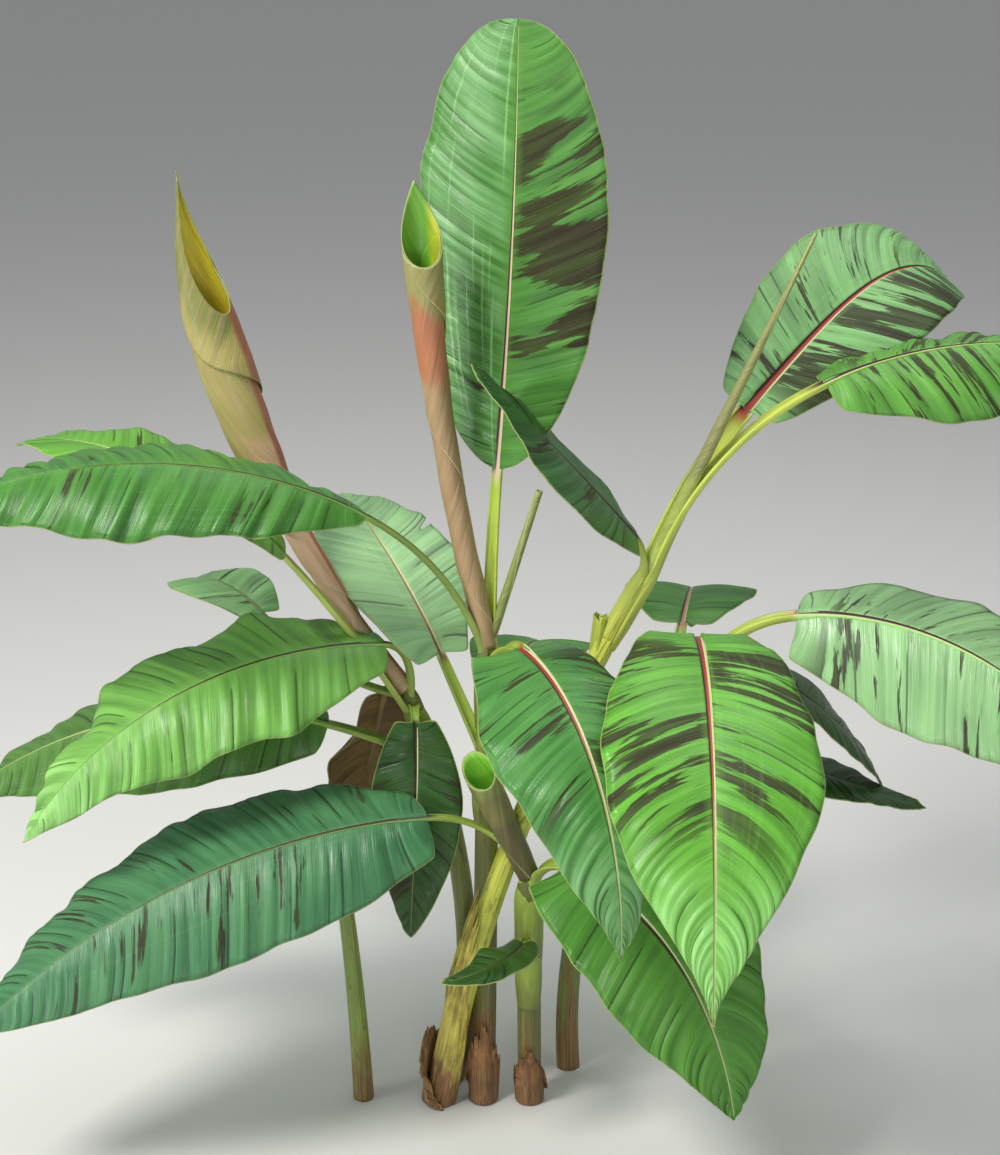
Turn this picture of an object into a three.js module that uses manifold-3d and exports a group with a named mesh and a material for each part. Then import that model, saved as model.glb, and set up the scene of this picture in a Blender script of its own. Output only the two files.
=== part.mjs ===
// A young clump of banana plants: slender stems from one root, long petioles, broad arching blades
// and rolled new leaves. Millimetres, +Z up, the front of the clump towards -Y.
import * as THREE from "three";
import Module from "manifold-3d";

const kernel = await Module();
kernel.setup();

const DEG = Math.PI / 180;
const GAP = 0.3; // what touches on the plant stands this far apart
const LEAST_EDGE = 0.04; // shorter edges, which a cut can leave, are closed up
const PACE = 6; // length of one step along a limb
const BELOW = 30; // the stems are begun this far under the ground, then cut off at it

// Blade: rows along the midrib, columns from the midrib to the margin.
const ROWS = 12;
const ROW_CROWDING = 0.65; // how far the rows crowd towards base and tip
const COLUMNS = [0.12, 0.55, 1];
const THICKNESS_SHARE = 0.0115; // of the blade's length
const LOBE_REACH = 0.3; // share of the blade that the base lobes take up
const LOBE_START = 0.05;
const TIP_HALF_WIDTH = 0.8;
const MIDRIB_DEPTH = 0.45; // of the petiole's width at the blade
const MIDRIB_THINNING = 0.8; // share of that depth lost by the tip
const FLAT_TURN = 1e-3; // radians under which a half of a blade counts as straight across

// A petiole's widths at its foot and at the blade are shares of the blade's width, and not under least.
const PETIOLE = { wide: 0.1, top: 0.075, leastWide: 13, leastTop: 9 };
const FLAT_TOP = 0.35; // how far a petiole's upper side is flattened

const ROLLED = { wall: 4, deep: 0.5, rimPower: 1.5, innerDrop: 2 };

// Old sheaths: rings and arc steps, how far they stand off the faceted stem, and how they thin and
// narrow towards the free tip.
const SHEATH = { steps: 6, arcs: 7, ease: 1.3, thinning: 0.5, narrowing: 0.85 };

const SIDES = { stem: 12, petiole: 8, rolled: 12 };
const RING_SPACING = { stem: 65, petiole: 38, rolled: 45 };

const paint = (color, roughness) => new THREE.MeshStandardMaterial({ color, roughness, metalness: 0 });
const materials = {
  stem: paint(0x7f8f3c, 0.55),
  petiole: paint(0x8fa63f, 0.5),
  blade: paint(0x3f8a34, 0.4),
  withered: paint(0x6f4a22, 0.8),
  rolled: paint(0xb98a66, 0.55),
  sheath: paint(0x9a6a3a, 0.85),
};

// Stems. foot: x and y on the ground. rise: degrees above level at the foot, bend: how far the rise
// falls towards the top. wide, top: widths at the foot and at the top.
const stems = {
  main: { foot: [0, 0], heading: 60, rise: 88, length: 585, bend: -1, turn: 0, wide: 29, top: 25 },
  leaning: { foot: [-51, -3], heading: -4, rise: 81, length: 715, bend: 21, turn: 12, wide: 31, top: 21 },
  front: { foot: [55, 0], heading: -100, rise: 87, length: 312, bend: 0, turn: 0, wide: 28, top: 28 },
  back: { foot: [103, 73], heading: -20, rise: 94, length: 560, bend: 38, turn: 0, wide: 28, top: 20 },
  sucker: { foot: [-142, 5], heading: 160, rise: 88, length: 325, bend: 5, turn: 0, wide: 25, top: 17 },
  left: { foot: [-36, 45], heading: -27, rise: 77, length: 520, bend: -40, turn: 0, wide: 26, top: 22 },
};

// Old sheaths round the feet. from, to: shares of the stem. facing: where the middle of the sheath
// looks, spread: half of what it covers, flare: how far its free tip peels away.
const sheaths = {
  leaning: { from: 0, to: 0.44, facing: 215, spread: 130, flare: 5, thickness: 2.6 },
  leaning_foot: {
    stem: "leaning", from: 0, to: 0.13, facing: 170, spread: 110, flare: 12, thickness: 3, out: 4.2,
  },
  main: { from: 0, to: 0.2, facing: 250, spread: 120, flare: 4, thickness: 2.6 },
  front: { from: 0, to: 0.28, facing: 280, spread: 120, flare: 3, thickness: 2.6 },
};

// Leaves. up: where the petiole leaves its stem, as a share of the stem. heading: degrees from +X
// towards +Y, rise: above level. bend, droop: how far the rise falls along the petiole and the blade.
// late, hook: over 1, the blade's droop or the petiole's bend comes near its end. turn: how far the
// heading grows along the blade. roll: how many degrees the left half lies higher.
// left, right: slope of each half at the midrib and at the margin. widest: share of the blade.
// base, tip: how full the ends are, less is fuller. lobes: how far the left and right base hang back.
const leaves = {
  tall: {
    stem: "main", up: 0.97, heading: 57, rise: 90, petiole: 208, bend: 9, blade: 472, width: 236,
    droop: -8, turn: 0, roll: 0, left: [12, -6], right: [10, -8], widest: 0.57, base: 0.5, tip: 0.48,
    lobes: [0, 0],
  },
  folded: {
    stem: "leaning", up: 0.985, heading: 194, rise: 100, petiole: 44, bend: 50, blade: 280, width: 120,
    droop: 4, turn: 6, roll: -26, left: [5, -10], right: [-10, -20], widest: 0.42, base: 0.55, tip: 0.9,
    lobes: [30, 20],
  },
  arching_left: {
    stem: "main", up: 0.96, heading: 195, rise: 74, petiole: 225, bend: 42, blade: 475, width: 190,
    droop: 58, turn: -16, roll: 0, left: [-25, -65], right: [5, -15], widest: 0.48, base: 0.8, tip: 0.7,
  },
  pale_back: {
    stem: "main", up: 0.75, heading: 130, rise: 51, petiole: 130, bend: 0, blade: 320, width: 165,
    droop: 60, turn: -25, roll: 0, left: [12, -10], right: [12, -10], widest: 0.4, base: 0.5, tip: 0.8,
    lobes: [30, 30],
  },
  small_back: {
    stem: "left", up: 0.97, heading: 149, rise: -5, petiole: 215, bend: -42, blade: 170, width: 115,
    droop: 80, turn: -30, roll: 0, left: [12, -10], right: [12, -10], widest: 0.4, base: 0.5, tip: 0.8,
  },
  wavy_left: {
    stem: "left", up: 0.95, heading: 205, rise: 98, petiole: 95, bend: 90, hook: 2, blade: 480,
    width: 190, droop: 66, late: 1.2, turn: -5, roll: 0, left: [-30, -60], right: [8, 5], widest: 0.4,
    base: 0.5, tip: 0.9, wave: 8, waves: 3,
  },
  under_left: {
    stem: "left", up: 0.82, heading: 182, rise: 27, petiole: 125, bend: 12, blade: 460, width: 180,
    droop: 56, turn: -5, roll: 0, left: [-50, -75], right: [5, -5], widest: 0.4, base: 0.5, tip: 0.9,
  },
  low_left: {
    stem: "front", up: 0.95, heading: 195, rise: 78, petiole: 164, bend: 76, blade: 555, width: 220,
    droop: 44, turn: 5, roll: 0, left: [-35, -65], right: [10, 5], widest: 0.38, base: 0.5, tip: 0.75,
    lobes: [40, 20],
  },
  withered: {
    stem: "left", up: 0.97, heading: 130, rise: 45, petiole: 55, bend: 117, blade: 270, width: 130,
    droop: 0, turn: 0, roll: 0, left: [20, -30], right: [20, -30], widest: 0.4, base: 0.5, tip: 0.8,
    dead: true,
  },
  hanging: {
    stem: "left", up: 0.94, heading: -84, rise: 60, petiole: 50, bend: 130, blade: 250, width: 110,
    droop: 15, turn: -34, roll: 0, left: [20, -20], right: [20, -20], widest: 0.4, base: 0.5, tip: 0.8,
  },
  front: {
    stem: "main", up: 0.87, heading: -65, rise: 95, petiole: 138, bend: 92, blade: 400, width: 198,
    droop: 98, turn: -2, roll: 20, left: [-10, -50], right: [10, -10], widest: 0.36, base: 0.45,
    tip: 1.1, lobes: [52, 68],
  },
  broad_front: {
    stem: "back", up: 0.985, heading: -90, rise: 92, petiole: 120, bend: 82, blade: 505, width: 224,
    droop: 88, turn: -3, roll: 0, left: [12, -20], right: [14, -14], widest: 0.5, base: 0.42, tip: 1.4,
    lobes: [50, 50],
  },
  right: {
    stem: "back", up: 0.99, heading: -13, rise: 71, petiole: 154, bend: 64, blade: 415, width: 225,
    droop: 60, turn: -25, roll: 0, left: [5, 0], right: [-45, -75], widest: 0.4, base: 0.45, tip: 0.8,
    lobes: [20, 40],
  },
  upper_right: {
    stem: "leaning", up: 0.985, heading: 14, rise: 71, petiole: 290, bend: 50, blade: 380, width: 190,
    droop: 40, turn: -20, roll: 0, left: [0, -20], right: [-25, -75], widest: 0.4, base: 0.5, tip: 0.85,
  },
  far_right: {
    stem: "leaning", up: 0.97, heading: 36, rise: 64, petiole: 225, bend: 28, blade: 400, width: 192,
    droop: 105, turn: 5, late: 3, roll: 30, left: [8, -8], right: [8, -8], widest: 0.5, base: 0.5,
    tip: 0.75,
  },
  shaded_right: {
    stem: "back", up: 0.95, heading: 13, rise: 62, petiole: 100, bend: 90, blade: 240, width: 110,
    droop: 35, turn: 0, roll: 10, left: [8, -8], right: [8, -20], widest: 0.4, base: 0.5, tip: 0.85,
  },
  low_front: {
    stem: "front", up: 0.9, heading: -42, rise: 92, petiole: 88, bend: 92, blade: 360, width: 200,
    droop: 80, turn: -9, roll: 28, left: [5, -20], right: [10, -5], widest: 0.4, base: 0.45, tip: 0.85,
    lobes: [30, 50],
  },
  dark_right: {
    stem: "back", up: 0.86, heading: 7, rise: 20, petiole: 50, bend: 45, blade: 290, width: 120,
    droop: -5, turn: -6, roll: 0, left: [8, -8], right: [8, -20], widest: 0.4, base: 0.5, tip: 0.85,
  },
  hidden_back: {
    stem: "left", up: 0.9, heading: 184, rise: 60, petiole: 255, bend: 10, blade: 400, width: 150,
    droop: 75, turn: -55, roll: 0, left: [12, -10], right: [12, -10], widest: 0.4, base: 0.5, tip: 0.8,
  },
  small_low: {
    stem: "front", up: 0.7, heading: -100, rise: 45, petiole: 40, bend: 35, blade: 135, width: 62,
    droop: 25, turn: -75, roll: 0, left: [8, -8], right: [8, -8], widest: 0.4, base: 0.5, tip: 0.85,
  },
  back_main: {
    stem: "main", up: 0.74, heading: 76, rise: 55, petiole: 120, bend: 45, blade: 330, width: 150,
    droop: 62, turn: 4, roll: 0, left: [12, -14], right: [12, -14], widest: 0.4, base: 0.5, tip: 0.85,
  },
  back_right: {
    stem: "back", up: 0.92, heading: 80, rise: 62, petiole: 115, bend: 52, blade: 345, width: 160,
    droop: 64, turn: 6, roll: 0, left: [12, -14], right: [12, -14], widest: 0.4, base: 0.5, tip: 0.85,
  },
};

// Rolled new leaves. widths: evenly spaced from foot to mouth. mouth: how deep it is open, 0 is shut.
// rim: how wide the mouth's rim is, as a share of the last width. slant: how much higher the rim
// stands on one side, and leans: where that side looks.
const rolled = {
  tall: {
    stem: "main", up: 0.98, heading: 180, rise: 76, length: 434, bend: -12,
    widths: [21, 26, 27, 27, 30, 35, 40], mouth: 60, rim: 1.15, slant: 85, leans: 100,
  },
  left: {
    stem: "left", up: 0.98, heading: 165, rise: 49, length: 530, bend: -30,
    widths: [24, 24, 31, 52, 66, 63], mouth: 60, rim: 0.95, slant: 115, leans: 95,
  },
  thin: {
    stem: "main", up: 0.98, heading: 0, rise: 73, length: 188, bend: 0, widths: [12, 10, 8], mouth: 0,
    slant: 0, leans: 0,
  },
  open: {
    stem: "front", up: 0.98, heading: 198, rise: 67, length: 135, bend: 0, widths: [26, 32, 38],
    mouth: 60, rim: 1, slant: 32, leans: 100,
  },
  right: {
    stem: "leaning", up: 0.985, heading: 14, rise: 64, length: 405, bend: 0, widths: [15, 15, 12, 8, 4],
    mouth: 0, slant: 0, leans: 0,
  },
};

const stub = { stem: "leaning", up: 0.8, heading: 20, rise: 84, length: 70, bend: 0, wide: 22, top: 20 };

// A limb walked pace by pace: at each mark its place, the way on, its upper side and its left side.
function walk(start, heading, rise, legs) {
  const marks = [];
  const ends = [];
  const at = start.clone();
  let azimuth = heading;
  let elevation = rise;
  const mark = (turned, risen) => {
    const a = turned * DEG;
    const e = risen * DEG;
    const way = new THREE.Vector3(Math.cos(e) * Math.cos(a), Math.cos(e) * Math.sin(a), Math.sin(e));
    const side = new THREE.Vector3(-Math.sin(a), Math.cos(a), 0);
    marks.push({ at: at.clone(), way, side, up: way.clone().cross(side) });
    return way;
  };
  for (const { length, bend = 0, turn = 0, late = 1 } of legs) {
    const paces = Math.max(8, Math.round(length / PACE));
    for (let i = 0; i < paces; i += 1) {
      const share = (i + 0.5) / paces;
      const way = mark(azimuth + turn * share, elevation - bend * share ** late);
      at.addScaledVector(way, length / paces);
    }
    azimuth += turn;
    elevation -= bend;
    ends.push(marks.length);
  }
  mark(azimuth, elevation);
  return { marks, ends };
}

// The place at a share of the stretch between two marks.
function along(marks, share, first = 0, last = marks.length - 1) {
  const reach = first + (last - first) * share;
  const i = Math.min(marks.length - 2, Math.floor(reach));
  const mix = (key) => marks[i][key].clone().lerp(marks[i + 1][key], reach - i);
  const way = mix("way").normalize();
  const side = mix("side").normalize();
  return { at: mix("at"), way, side, up: way.clone().cross(side).normalize() };
}

// A closed solid skinned over rings of equal count, with a fan over each end. A ring runs from the
// left over the top to the right and back underneath.
function skin(rings) {
  const count = rings[0].length;
  const points = rings.flat();
  const faces = [];
  for (let r = 0; r < rings.length - 1; r += 1) {
    for (let k = 0; k < count; k += 1) {
      const a = r * count + k;
      const b = r * count + ((k + 1) % count);
      faces.push([a, b, b + count], [a, b + count, a + count]);
    }
  }
  for (const [start, turned] of [
    [0, true],
    [(rings.length - 1) * count, false],
  ]) {
    const middle = new THREE.Vector3();
    for (let k = 0; k < count; k += 1) middle.addScaledVector(points[start + k], 1 / count);
    const centre = points.push(middle) - 1;
    for (let k = 0; k < count; k += 1) {
      const pair = [start + k, start + ((k + 1) % count)];
      faces.push(turned ? [centre, pair[1], pair[0]] : [centre, pair[0], pair[1]]);
    }
  }
  return new kernel.Manifold(
    new kernel.Mesh({
      numProp: 3,
      vertProperties: new Float32Array(points.flatMap((p) => p.toArray())),
      triVerts: new Uint32Array(faces.flat()),
    }),
  );
}

// A ring round a limb at a place.
function ring(place, halfWidth, halfHeight, sides, flat = 0) {
  return Array.from({ length: sides }, (_, k) => {
    const angle = (2 * Math.PI * (k + 0.5)) / sides;
    const lift = Math.sin(angle) * (Math.sin(angle) > 0 ? 1 - flat : 1);
    return place.at
      .clone()
      .addScaledVector(place.side, Math.cos(angle) * halfWidth)
      .addScaledVector(place.up, lift * halfHeight);
  });
}

function shifted(place, distance) {
  return { ...place, at: place.at.clone().addScaledVector(place.way, distance) };
}

// A tapering limb between two marks. more: how much it is grown on all sides.
function limb(marks, first, last, width, { spacing, sides, flat = 0, more = 0 }) {
  const length = (last - first) * PACE;
  const count = Math.max(2, Math.round(length / spacing));
  const rings = [];
  for (let i = 0; i <= count; i += 1) {
    const share = i / count;
    const end = i === 0 ? -more : i === count ? more : 0;
    const place = shifted(along(marks, share, first, last), end);
    const half = width(share) / 2;
    rings.push(ring(place, half + more, half + more, sides, flat));
  }
  return skin(rings);
}

const taper = (wide, top) => (share) => wide + (top - wide) * share;

// What is already in place: each new solid is cut clear of it, and its largest piece is kept.
const placed = [];
const group = new THREE.Group();

function meshOf(name, solid, material) {
  const { vertProperties, triVerts, numProp } = solid.getMesh();
  const geometry = new THREE.BufferGeometry();
  const positions = new Float32Array((vertProperties.length / numProp) * 3);
  for (let i = 0; i < positions.length / 3; i += 1) {
    for (let k = 0; k < 3; k += 1) positions[3 * i + k] = vertProperties[numProp * i + k];
  }
  geometry.setAttribute("position", new THREE.BufferAttribute(positions, 3));
  geometry.setIndex(new THREE.BufferAttribute(new Uint32Array(triVerts), 1));
  geometry.computeVertexNormals();
  const mesh = new THREE.Mesh(geometry, material);
  mesh.name = name;
  return mesh;
}

function apart(a, b) {
  return [0, 1, 2].some((k) => a.max[k] < b.min[k] - GAP || b.max[k] < a.min[k] - GAP);
}

// grow(more) makes the solid, grown by that much on all sides.
function place(name, grow, material) {
  let solid = grow(0);
  for (const other of placed) {
    if (apart(solid.boundingBox(), other.box)) continue;
    other.grown ??= other.grow(GAP);
    if (solid.intersect(other.grown).isEmpty()) continue;
    solid = solid.subtract(other.grown).simplify(LEAST_EDGE);
  }
  const pieces = solid.decompose().sort((a, b) => b.volume() - a.volume());
  solid = pieces[0];
  placed.push({ grow, box: solid.boundingBox() });
  group.add(meshOf(name, solid, material));
}

const walkedStems = Object.fromEntries(
  Object.entries(stems).map(([name, s]) => [
    name,
    walk(new THREE.Vector3(s.foot[0], s.foot[1], 0), s.heading, s.rise, [
      { length: s.length, bend: s.bend, turn: s.turn },
    ]).marks,
  ]),
);

const stemWidth = (name) => taper(stems[name].wide, stems[name].top);

function stemSolid(name, more) {
  const marks = walkedStems[name];
  const count = Math.round(stems[name].length / RING_SPACING.stem);
  const rings = [];
  for (let i = -1; i <= count; i += 1) {
    const share = Math.max(0, i / count);
    const end = i < 0 ? -BELOW : i === count ? more : 0;
    const half = stemWidth(name)(share) / 2 + more;
    rings.push(ring(shifted(along(marks, share), end), half, half, SIDES.stem));
  }
  return skin(rings).trimByPlane([0, 0, 1], more > 0 ? -1 : 0);
}

// An old sheath: part of a tube round the stem, narrowing to its free tip.
function sheathSolid(name, more) {
  const { stem = name, from, to, facing, spread, flare, thickness, out = 0 } = sheaths[name];
  const { steps, arcs, ease, thinning, narrowing } = SHEATH;
  const marks = walkedStems[stem];
  const rings = [];
  for (let i = -1; i <= steps; i += 1) {
    const share = Math.max(0, i / steps);
    const up = from + (to - from) * share;
    const end = i < 0 ? -BELOW : i === steps ? more : 0;
    const place = shifted(along(marks, up), end);
    const inner = stemWidth(stem)(up) / 2 + ease + out + flare * share ** 4 - more;
    const outer = inner + thickness * (1 - thinning * share) + 2 * more;
    const half = spread * (1 - narrowing * share ** 3) + more * 2;
    const arc = (radius, turned) =>
      Array.from({ length: arcs + 1 }, (_, k) => {
        const angle = (facing + (turned ? 1 : -1) * half * ((2 * k) / arcs - 1)) * DEG;
        const away = new THREE.Vector3(Math.cos(angle), Math.sin(angle), 0);
        away.addScaledVector(place.way, -away.dot(place.way)).normalize();
        return place.at.clone().addScaledVector(away, radius);
      });
    rings.push([...arc(outer, true), ...arc(inner, false)]);
  }
  return skin(rings).trimByPlane([0, 0, 1], more > 0 ? -1 : 0);
}

function startOf(item) {
  return along(walkedStems[item.stem], item.up).at;
}

const walkedLeaves = Object.fromEntries(
  Object.entries(leaves).map(([name, l]) => [
    name,
    walk(startOf(l), l.heading, l.rise, [
      { length: l.petiole, bend: l.bend, late: l.hook },
      { length: l.blade, bend: l.droop, turn: l.turn, late: l.late },
    ]),
  ]),
);

const petioleWidths = (l) => ({
  wide: Math.max(PETIOLE.leastWide, l.width * PETIOLE.wide),
  top: Math.max(PETIOLE.leastTop, l.width * PETIOLE.top),
});

function petioleSolid(name, more) {
  const l = leaves[name];
  const { marks, ends } = walkedLeaves[name];
  const { wide, top } = petioleWidths(l);
  const short = GAP / PACE;
  return limb(marks, 0, ends[0] - short, taper(wide, top), {
    spacing: RING_SPACING.petiole,
    sides: SIDES.petiole,
    flat: FLAT_TOP,
    more,
  });
}

// Half the blade's width at a share of its length.
function halfWidth(l, s) {
  const { top } = petioleWidths(l);
  const shape =
    s < l.widest
      ? Math.sin((Math.PI / 2) * (s / l.widest)) ** l.base
      : Math.cos((Math.PI / 2) * ((s - l.widest) / (1 - l.widest))) ** l.tip;
  return Math.max((l.width / 2) * shape, (top / 2) * (1 - s), TIP_HALF_WIDTH);
}

// How far out and up a half reaches at a share of its width, for a unit of half width.
function slope([near, far], v) {
  const start = near * DEG;
  const turn = (far - near) * DEG;
  if (Math.abs(turn) < FLAT_TURN) return [v * Math.cos(start), v * Math.sin(start)];
  return [
    (Math.sin(start + turn * v) - Math.sin(start)) / turn,
    (Math.cos(start) - Math.cos(start + turn * v)) / turn,
  ];
}

function bladeSolid(name, more) {
  const l = leaves[name];
  const { marks, ends } = walkedLeaves[name];
  const { top } = petioleWidths(l);
  const thick = THICKNESS_SHARE * l.blade;
  const lobes = l.lobes ?? [20, 20];
  const roll = l.roll * DEG;
  const rings = [];
  for (let i = 0; i <= ROWS; i += 1) {
    const u = i / ROWS;
    const s = u - (ROW_CROWDING * Math.sin(2 * Math.PI * u)) / (2 * Math.PI);
    const here = shifted(along(marks, s, ends[0], marks.length - 1),
    i === 0 ? -more : i === ROWS ? more : 0);
    const side = here.side.clone().multiplyScalar(Math.cos(roll)).addScaledVector(here.up, Math.sin(roll));
    const up = here.up.clone().multiplyScalar(Math.cos(roll)).addScaledVector(here.side, -Math.sin(roll));
    const half = halfWidth(l, s) + more;
    const sweep = Math.min(1, s / LOBE_START) * Math.max(0, 1 - s / LOBE_REACH) ** 2;
    const wave = (l.wave ?? 0) * Math.sin(2 * Math.PI * (l.waves ?? 2) * s) * Math.sin(Math.PI * s) ** 0.5;
    const point = (sign, v, level) => {
      const angles = sign > 0 ? l.left : l.right;
      const [across, lift] = slope(angles, v);
      const tilt = (angles[0] + (angles[1] - angles[0]) * v) * DEG;
      const ridge = v === 0 && level < 0 ? MIDRIB_DEPTH * top * (1 - MIDRIB_THINNING * s) : 0;
      const out = Math.max(0, (v - COLUMNS[0]) / (1 - COLUMNS[0]));
      const back = lobes[sign > 0 ? 0 : 1] * sweep * out ** 2 + (sweep > 0 ? more * out : 0);
      return here.at
        .clone()
        .addScaledVector(side, sign * across * half)
        .addScaledVector(up, lift * half + wave * v * v * sign)
        .addScaledVector(up, level * (thick / 2 + more + ridge) * Math.cos(v === 0 ? 0 : tilt))
        .addScaledVector(side, -sign * level * (thick / 2 + more) * Math.sin(v === 0 ? 0 : tilt))
        .addScaledVector(here.way, -back);
    };
    const outwards = COLUMNS;
    const inwards = [...COLUMNS].reverse();
    rings.push([
      ...inwards.slice(0, -1).map((v) => point(1, v, 1)),
      point(1, 0, 1),
      ...outwards.slice(1).map((v) => point(-1, v, 1)),
      ...inwards.map((v) => point(-1, v, -1)),
      point(1, 0, -1),
      ...outwards.map((v) => point(1, v, -1)),
    ]);
  }
  return skin(rings);
}

// The width at a share, between evenly spaced widths.
function between(widths, share) {
  const reach = share * (widths.length - 1);
  const i = Math.min(widths.length - 2, Math.floor(reach));
  return widths[i] + (widths[i + 1] - widths[i]) * (reach - i);
}

function rolledSolid(name, more) {
  const r = rolled[name];
  const { marks } = walk(startOf(r), r.heading, r.rise, [{ length: r.length, bend: r.bend }]);
  const count = Math.round(r.length / RING_SPACING.rolled);
  const rings = [];
  for (let i = 0; i <= count; i += 1) {
    const half = between(r.widths, i / count) / 2 + more;
    rings.push(ring(shifted(along(marks, i / count), i === 0 ? -more : 0), half, half, SIDES.rolled));
  }
  if (r.mouth === 0) return skin(rings);
  const end = along(marks, 1);
  const highest = new THREE.Vector3(Math.cos(r.leans * DEG), Math.sin(r.leans * DEG), 0);
  const rim = (half, drop) =>
    ring(end, half, half, SIDES.rolled).map((p) => {
      const side = p.clone().sub(end.at).normalize().dot(highest);
      return p.addScaledVector(end.way, r.slant * (0.5 + 0.5 * side) ** ROLLED.rimPower - drop);
    });
  const mouth = r.widths.at(-1) / 2;
  rings.push(rim(mouth * r.rim + more, -more));
  if (more === 0) {
    rings.push(rim(mouth * r.rim - ROLLED.wall, ROLLED.innerDrop));
    const deep = along(marks, 1 - r.mouth / r.length);
    rings.push(ring(deep, mouth * ROLLED.deep, mouth * ROLLED.deep, SIDES.rolled));
  }
  return skin(rings);
}

function stubSolid(more) {
  const { marks } = walk(startOf(stub), stub.heading, stub.rise, [{ length: stub.length }]);
  return limb(marks, 0, marks.length - 1, taper(stub.wide, stub.top), {
    spacing: RING_SPACING.petiole,
    sides: SIDES.petiole,
    flat: FLAT_TOP,
    more,
  });
}

for (const name of Object.keys(stems)) {
  place(`stem_${name}`, (more) => stemSolid(name, more), materials.stem);
}
for (const name of Object.keys(sheaths)) {
  place(`sheath_${name}`, (more) => sheathSolid(name, more), materials.sheath);
}
place("petiole_stub", stubSolid, materials.petiole);
for (const name of Object.keys(rolled)) {
  place(`rolled_${name}`, (more) => rolledSolid(name, more), materials.rolled);
}
for (const name of Object.keys(leaves)) {
  place(`petiole_${name}`, (more) => petioleSolid(name, more), materials.petiole);
}
for (const [name, l] of Object.entries(leaves)) {
  place(`blade_${name}`, (more) => bladeSolid(name, more), l.dead ? materials.withered : materials.blade);
}

export default group;
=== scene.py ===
"""A young clump of banana plants: slender stems from one root, nested leaf stalks, broad arching blades
pleated by their side veins, rolled new leaves and dry old sheaths. Metres, the front towards -Y."""

import math

import bpy
import numpy as np
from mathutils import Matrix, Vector


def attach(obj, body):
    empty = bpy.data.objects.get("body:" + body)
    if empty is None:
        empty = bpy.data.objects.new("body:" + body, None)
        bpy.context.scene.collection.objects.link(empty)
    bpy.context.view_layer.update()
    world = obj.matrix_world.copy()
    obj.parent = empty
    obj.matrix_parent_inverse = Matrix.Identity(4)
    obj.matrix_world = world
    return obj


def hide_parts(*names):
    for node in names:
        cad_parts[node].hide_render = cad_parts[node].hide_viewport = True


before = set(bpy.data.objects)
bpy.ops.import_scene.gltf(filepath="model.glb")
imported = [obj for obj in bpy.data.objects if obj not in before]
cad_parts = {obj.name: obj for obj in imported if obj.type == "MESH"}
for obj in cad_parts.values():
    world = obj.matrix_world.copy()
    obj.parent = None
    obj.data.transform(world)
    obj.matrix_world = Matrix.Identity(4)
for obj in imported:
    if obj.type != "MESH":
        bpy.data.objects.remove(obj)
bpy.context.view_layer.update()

# The limbs' own rule: a limb is walked pace by pace, its rise falling and its heading turning on the way.
PACE = 0.002
LOBE_REACH = 0.3
LOBE_START = 0.05
LOBE_INNER = 0.12
TIP_HALF_WIDTH = 0.0008
PETIOLE_SHARE = dict(wide=0.1, top=0.075)
PETIOLE_LEAST = dict(wide=0.013, top=0.009)

# Stems. foot: on the ground. rise: degrees above level, bend: how far the rise falls to the top. dry: share
# of the height up to which the foot is brown. twist: how fast the sheaths' free edges lean round the stem.
STEMS = {
    "main": dict(
        foot=(0, 0), heading=60, rise=88, length=0.585, bend=-1, wide=0.029, top=0.025,
        green=(0.13, 0.14, 0.03), dry=0.25, twist=3.0,
    ),
    "leaning": dict(
        foot=(-0.051, -0.003), heading=-4, rise=81, length=0.715, bend=21, turn=12, wide=0.031, top=0.021,
        green=(0.56, 0.6, 0.08), dry=0.1, twist=2.2,
    ),
    "front": dict(
        foot=(0.055, 0), heading=-100, rise=87, length=0.312, bend=0, wide=0.028, top=0.028,
        green=(0.12, 0.14, 0.03), dry=0.3, twist=-3.0,
    ),
    "back": dict(
        foot=(0.103, 0.073), heading=-20, rise=94, length=0.56, bend=38, wide=0.028, top=0.02,
        green=(0.14, 0.2, 0.035), dry=0.2, twist=2.5,
    ),
    "sucker": dict(
        foot=(-0.142, 0.005), heading=160, rise=88, length=0.325, bend=5, wide=0.025, top=0.017,
        green=(0.2, 0.28, 0.05), dry=0.15, twist=-2.5,
    ),
    "left": dict(
        foot=(-0.036, 0.045), heading=-27, rise=77, length=0.52, bend=-40, wide=0.026, top=0.022,
        green=(0.17, 0.2, 0.035), dry=0.2, twist=2.8,
    ),
}

# Old sheaths round the feet. high: share of the stem. facing: where the sheath's middle looks. out: how
# far it stands off further than the others. dark, light: its fibres' colours. foot: where it browns.
SHEATHS = {
    "leaning": dict(
        high=0.44, facing=215, spread=130, flare=0.005, dark=(0.52, 0.44, 0.07), light=(0.82, 0.7, 0.15),
        foot=0.2,
    ),
    "leaning_foot": dict(
        stem="leaning", high=0.13, facing=170, spread=110, flare=0.012, out=0.0044, dark=(0.2, 0.09, 0.03),
        light=(0.6, 0.36, 0.14), foot=0.2,
    ),
    "main": dict(
        high=0.2, facing=250, spread=120, flare=0.004, dark=(0.15, 0.065, 0.022), light=(0.42, 0.22, 0.08),
        foot=0.4,
    ),
    "front": dict(
        high=0.28, facing=280, spread=120, flare=0.003, dark=(0.14, 0.06, 0.022), light=(0.4, 0.2, 0.07),
        foot=0.4,
    ),
}

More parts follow.
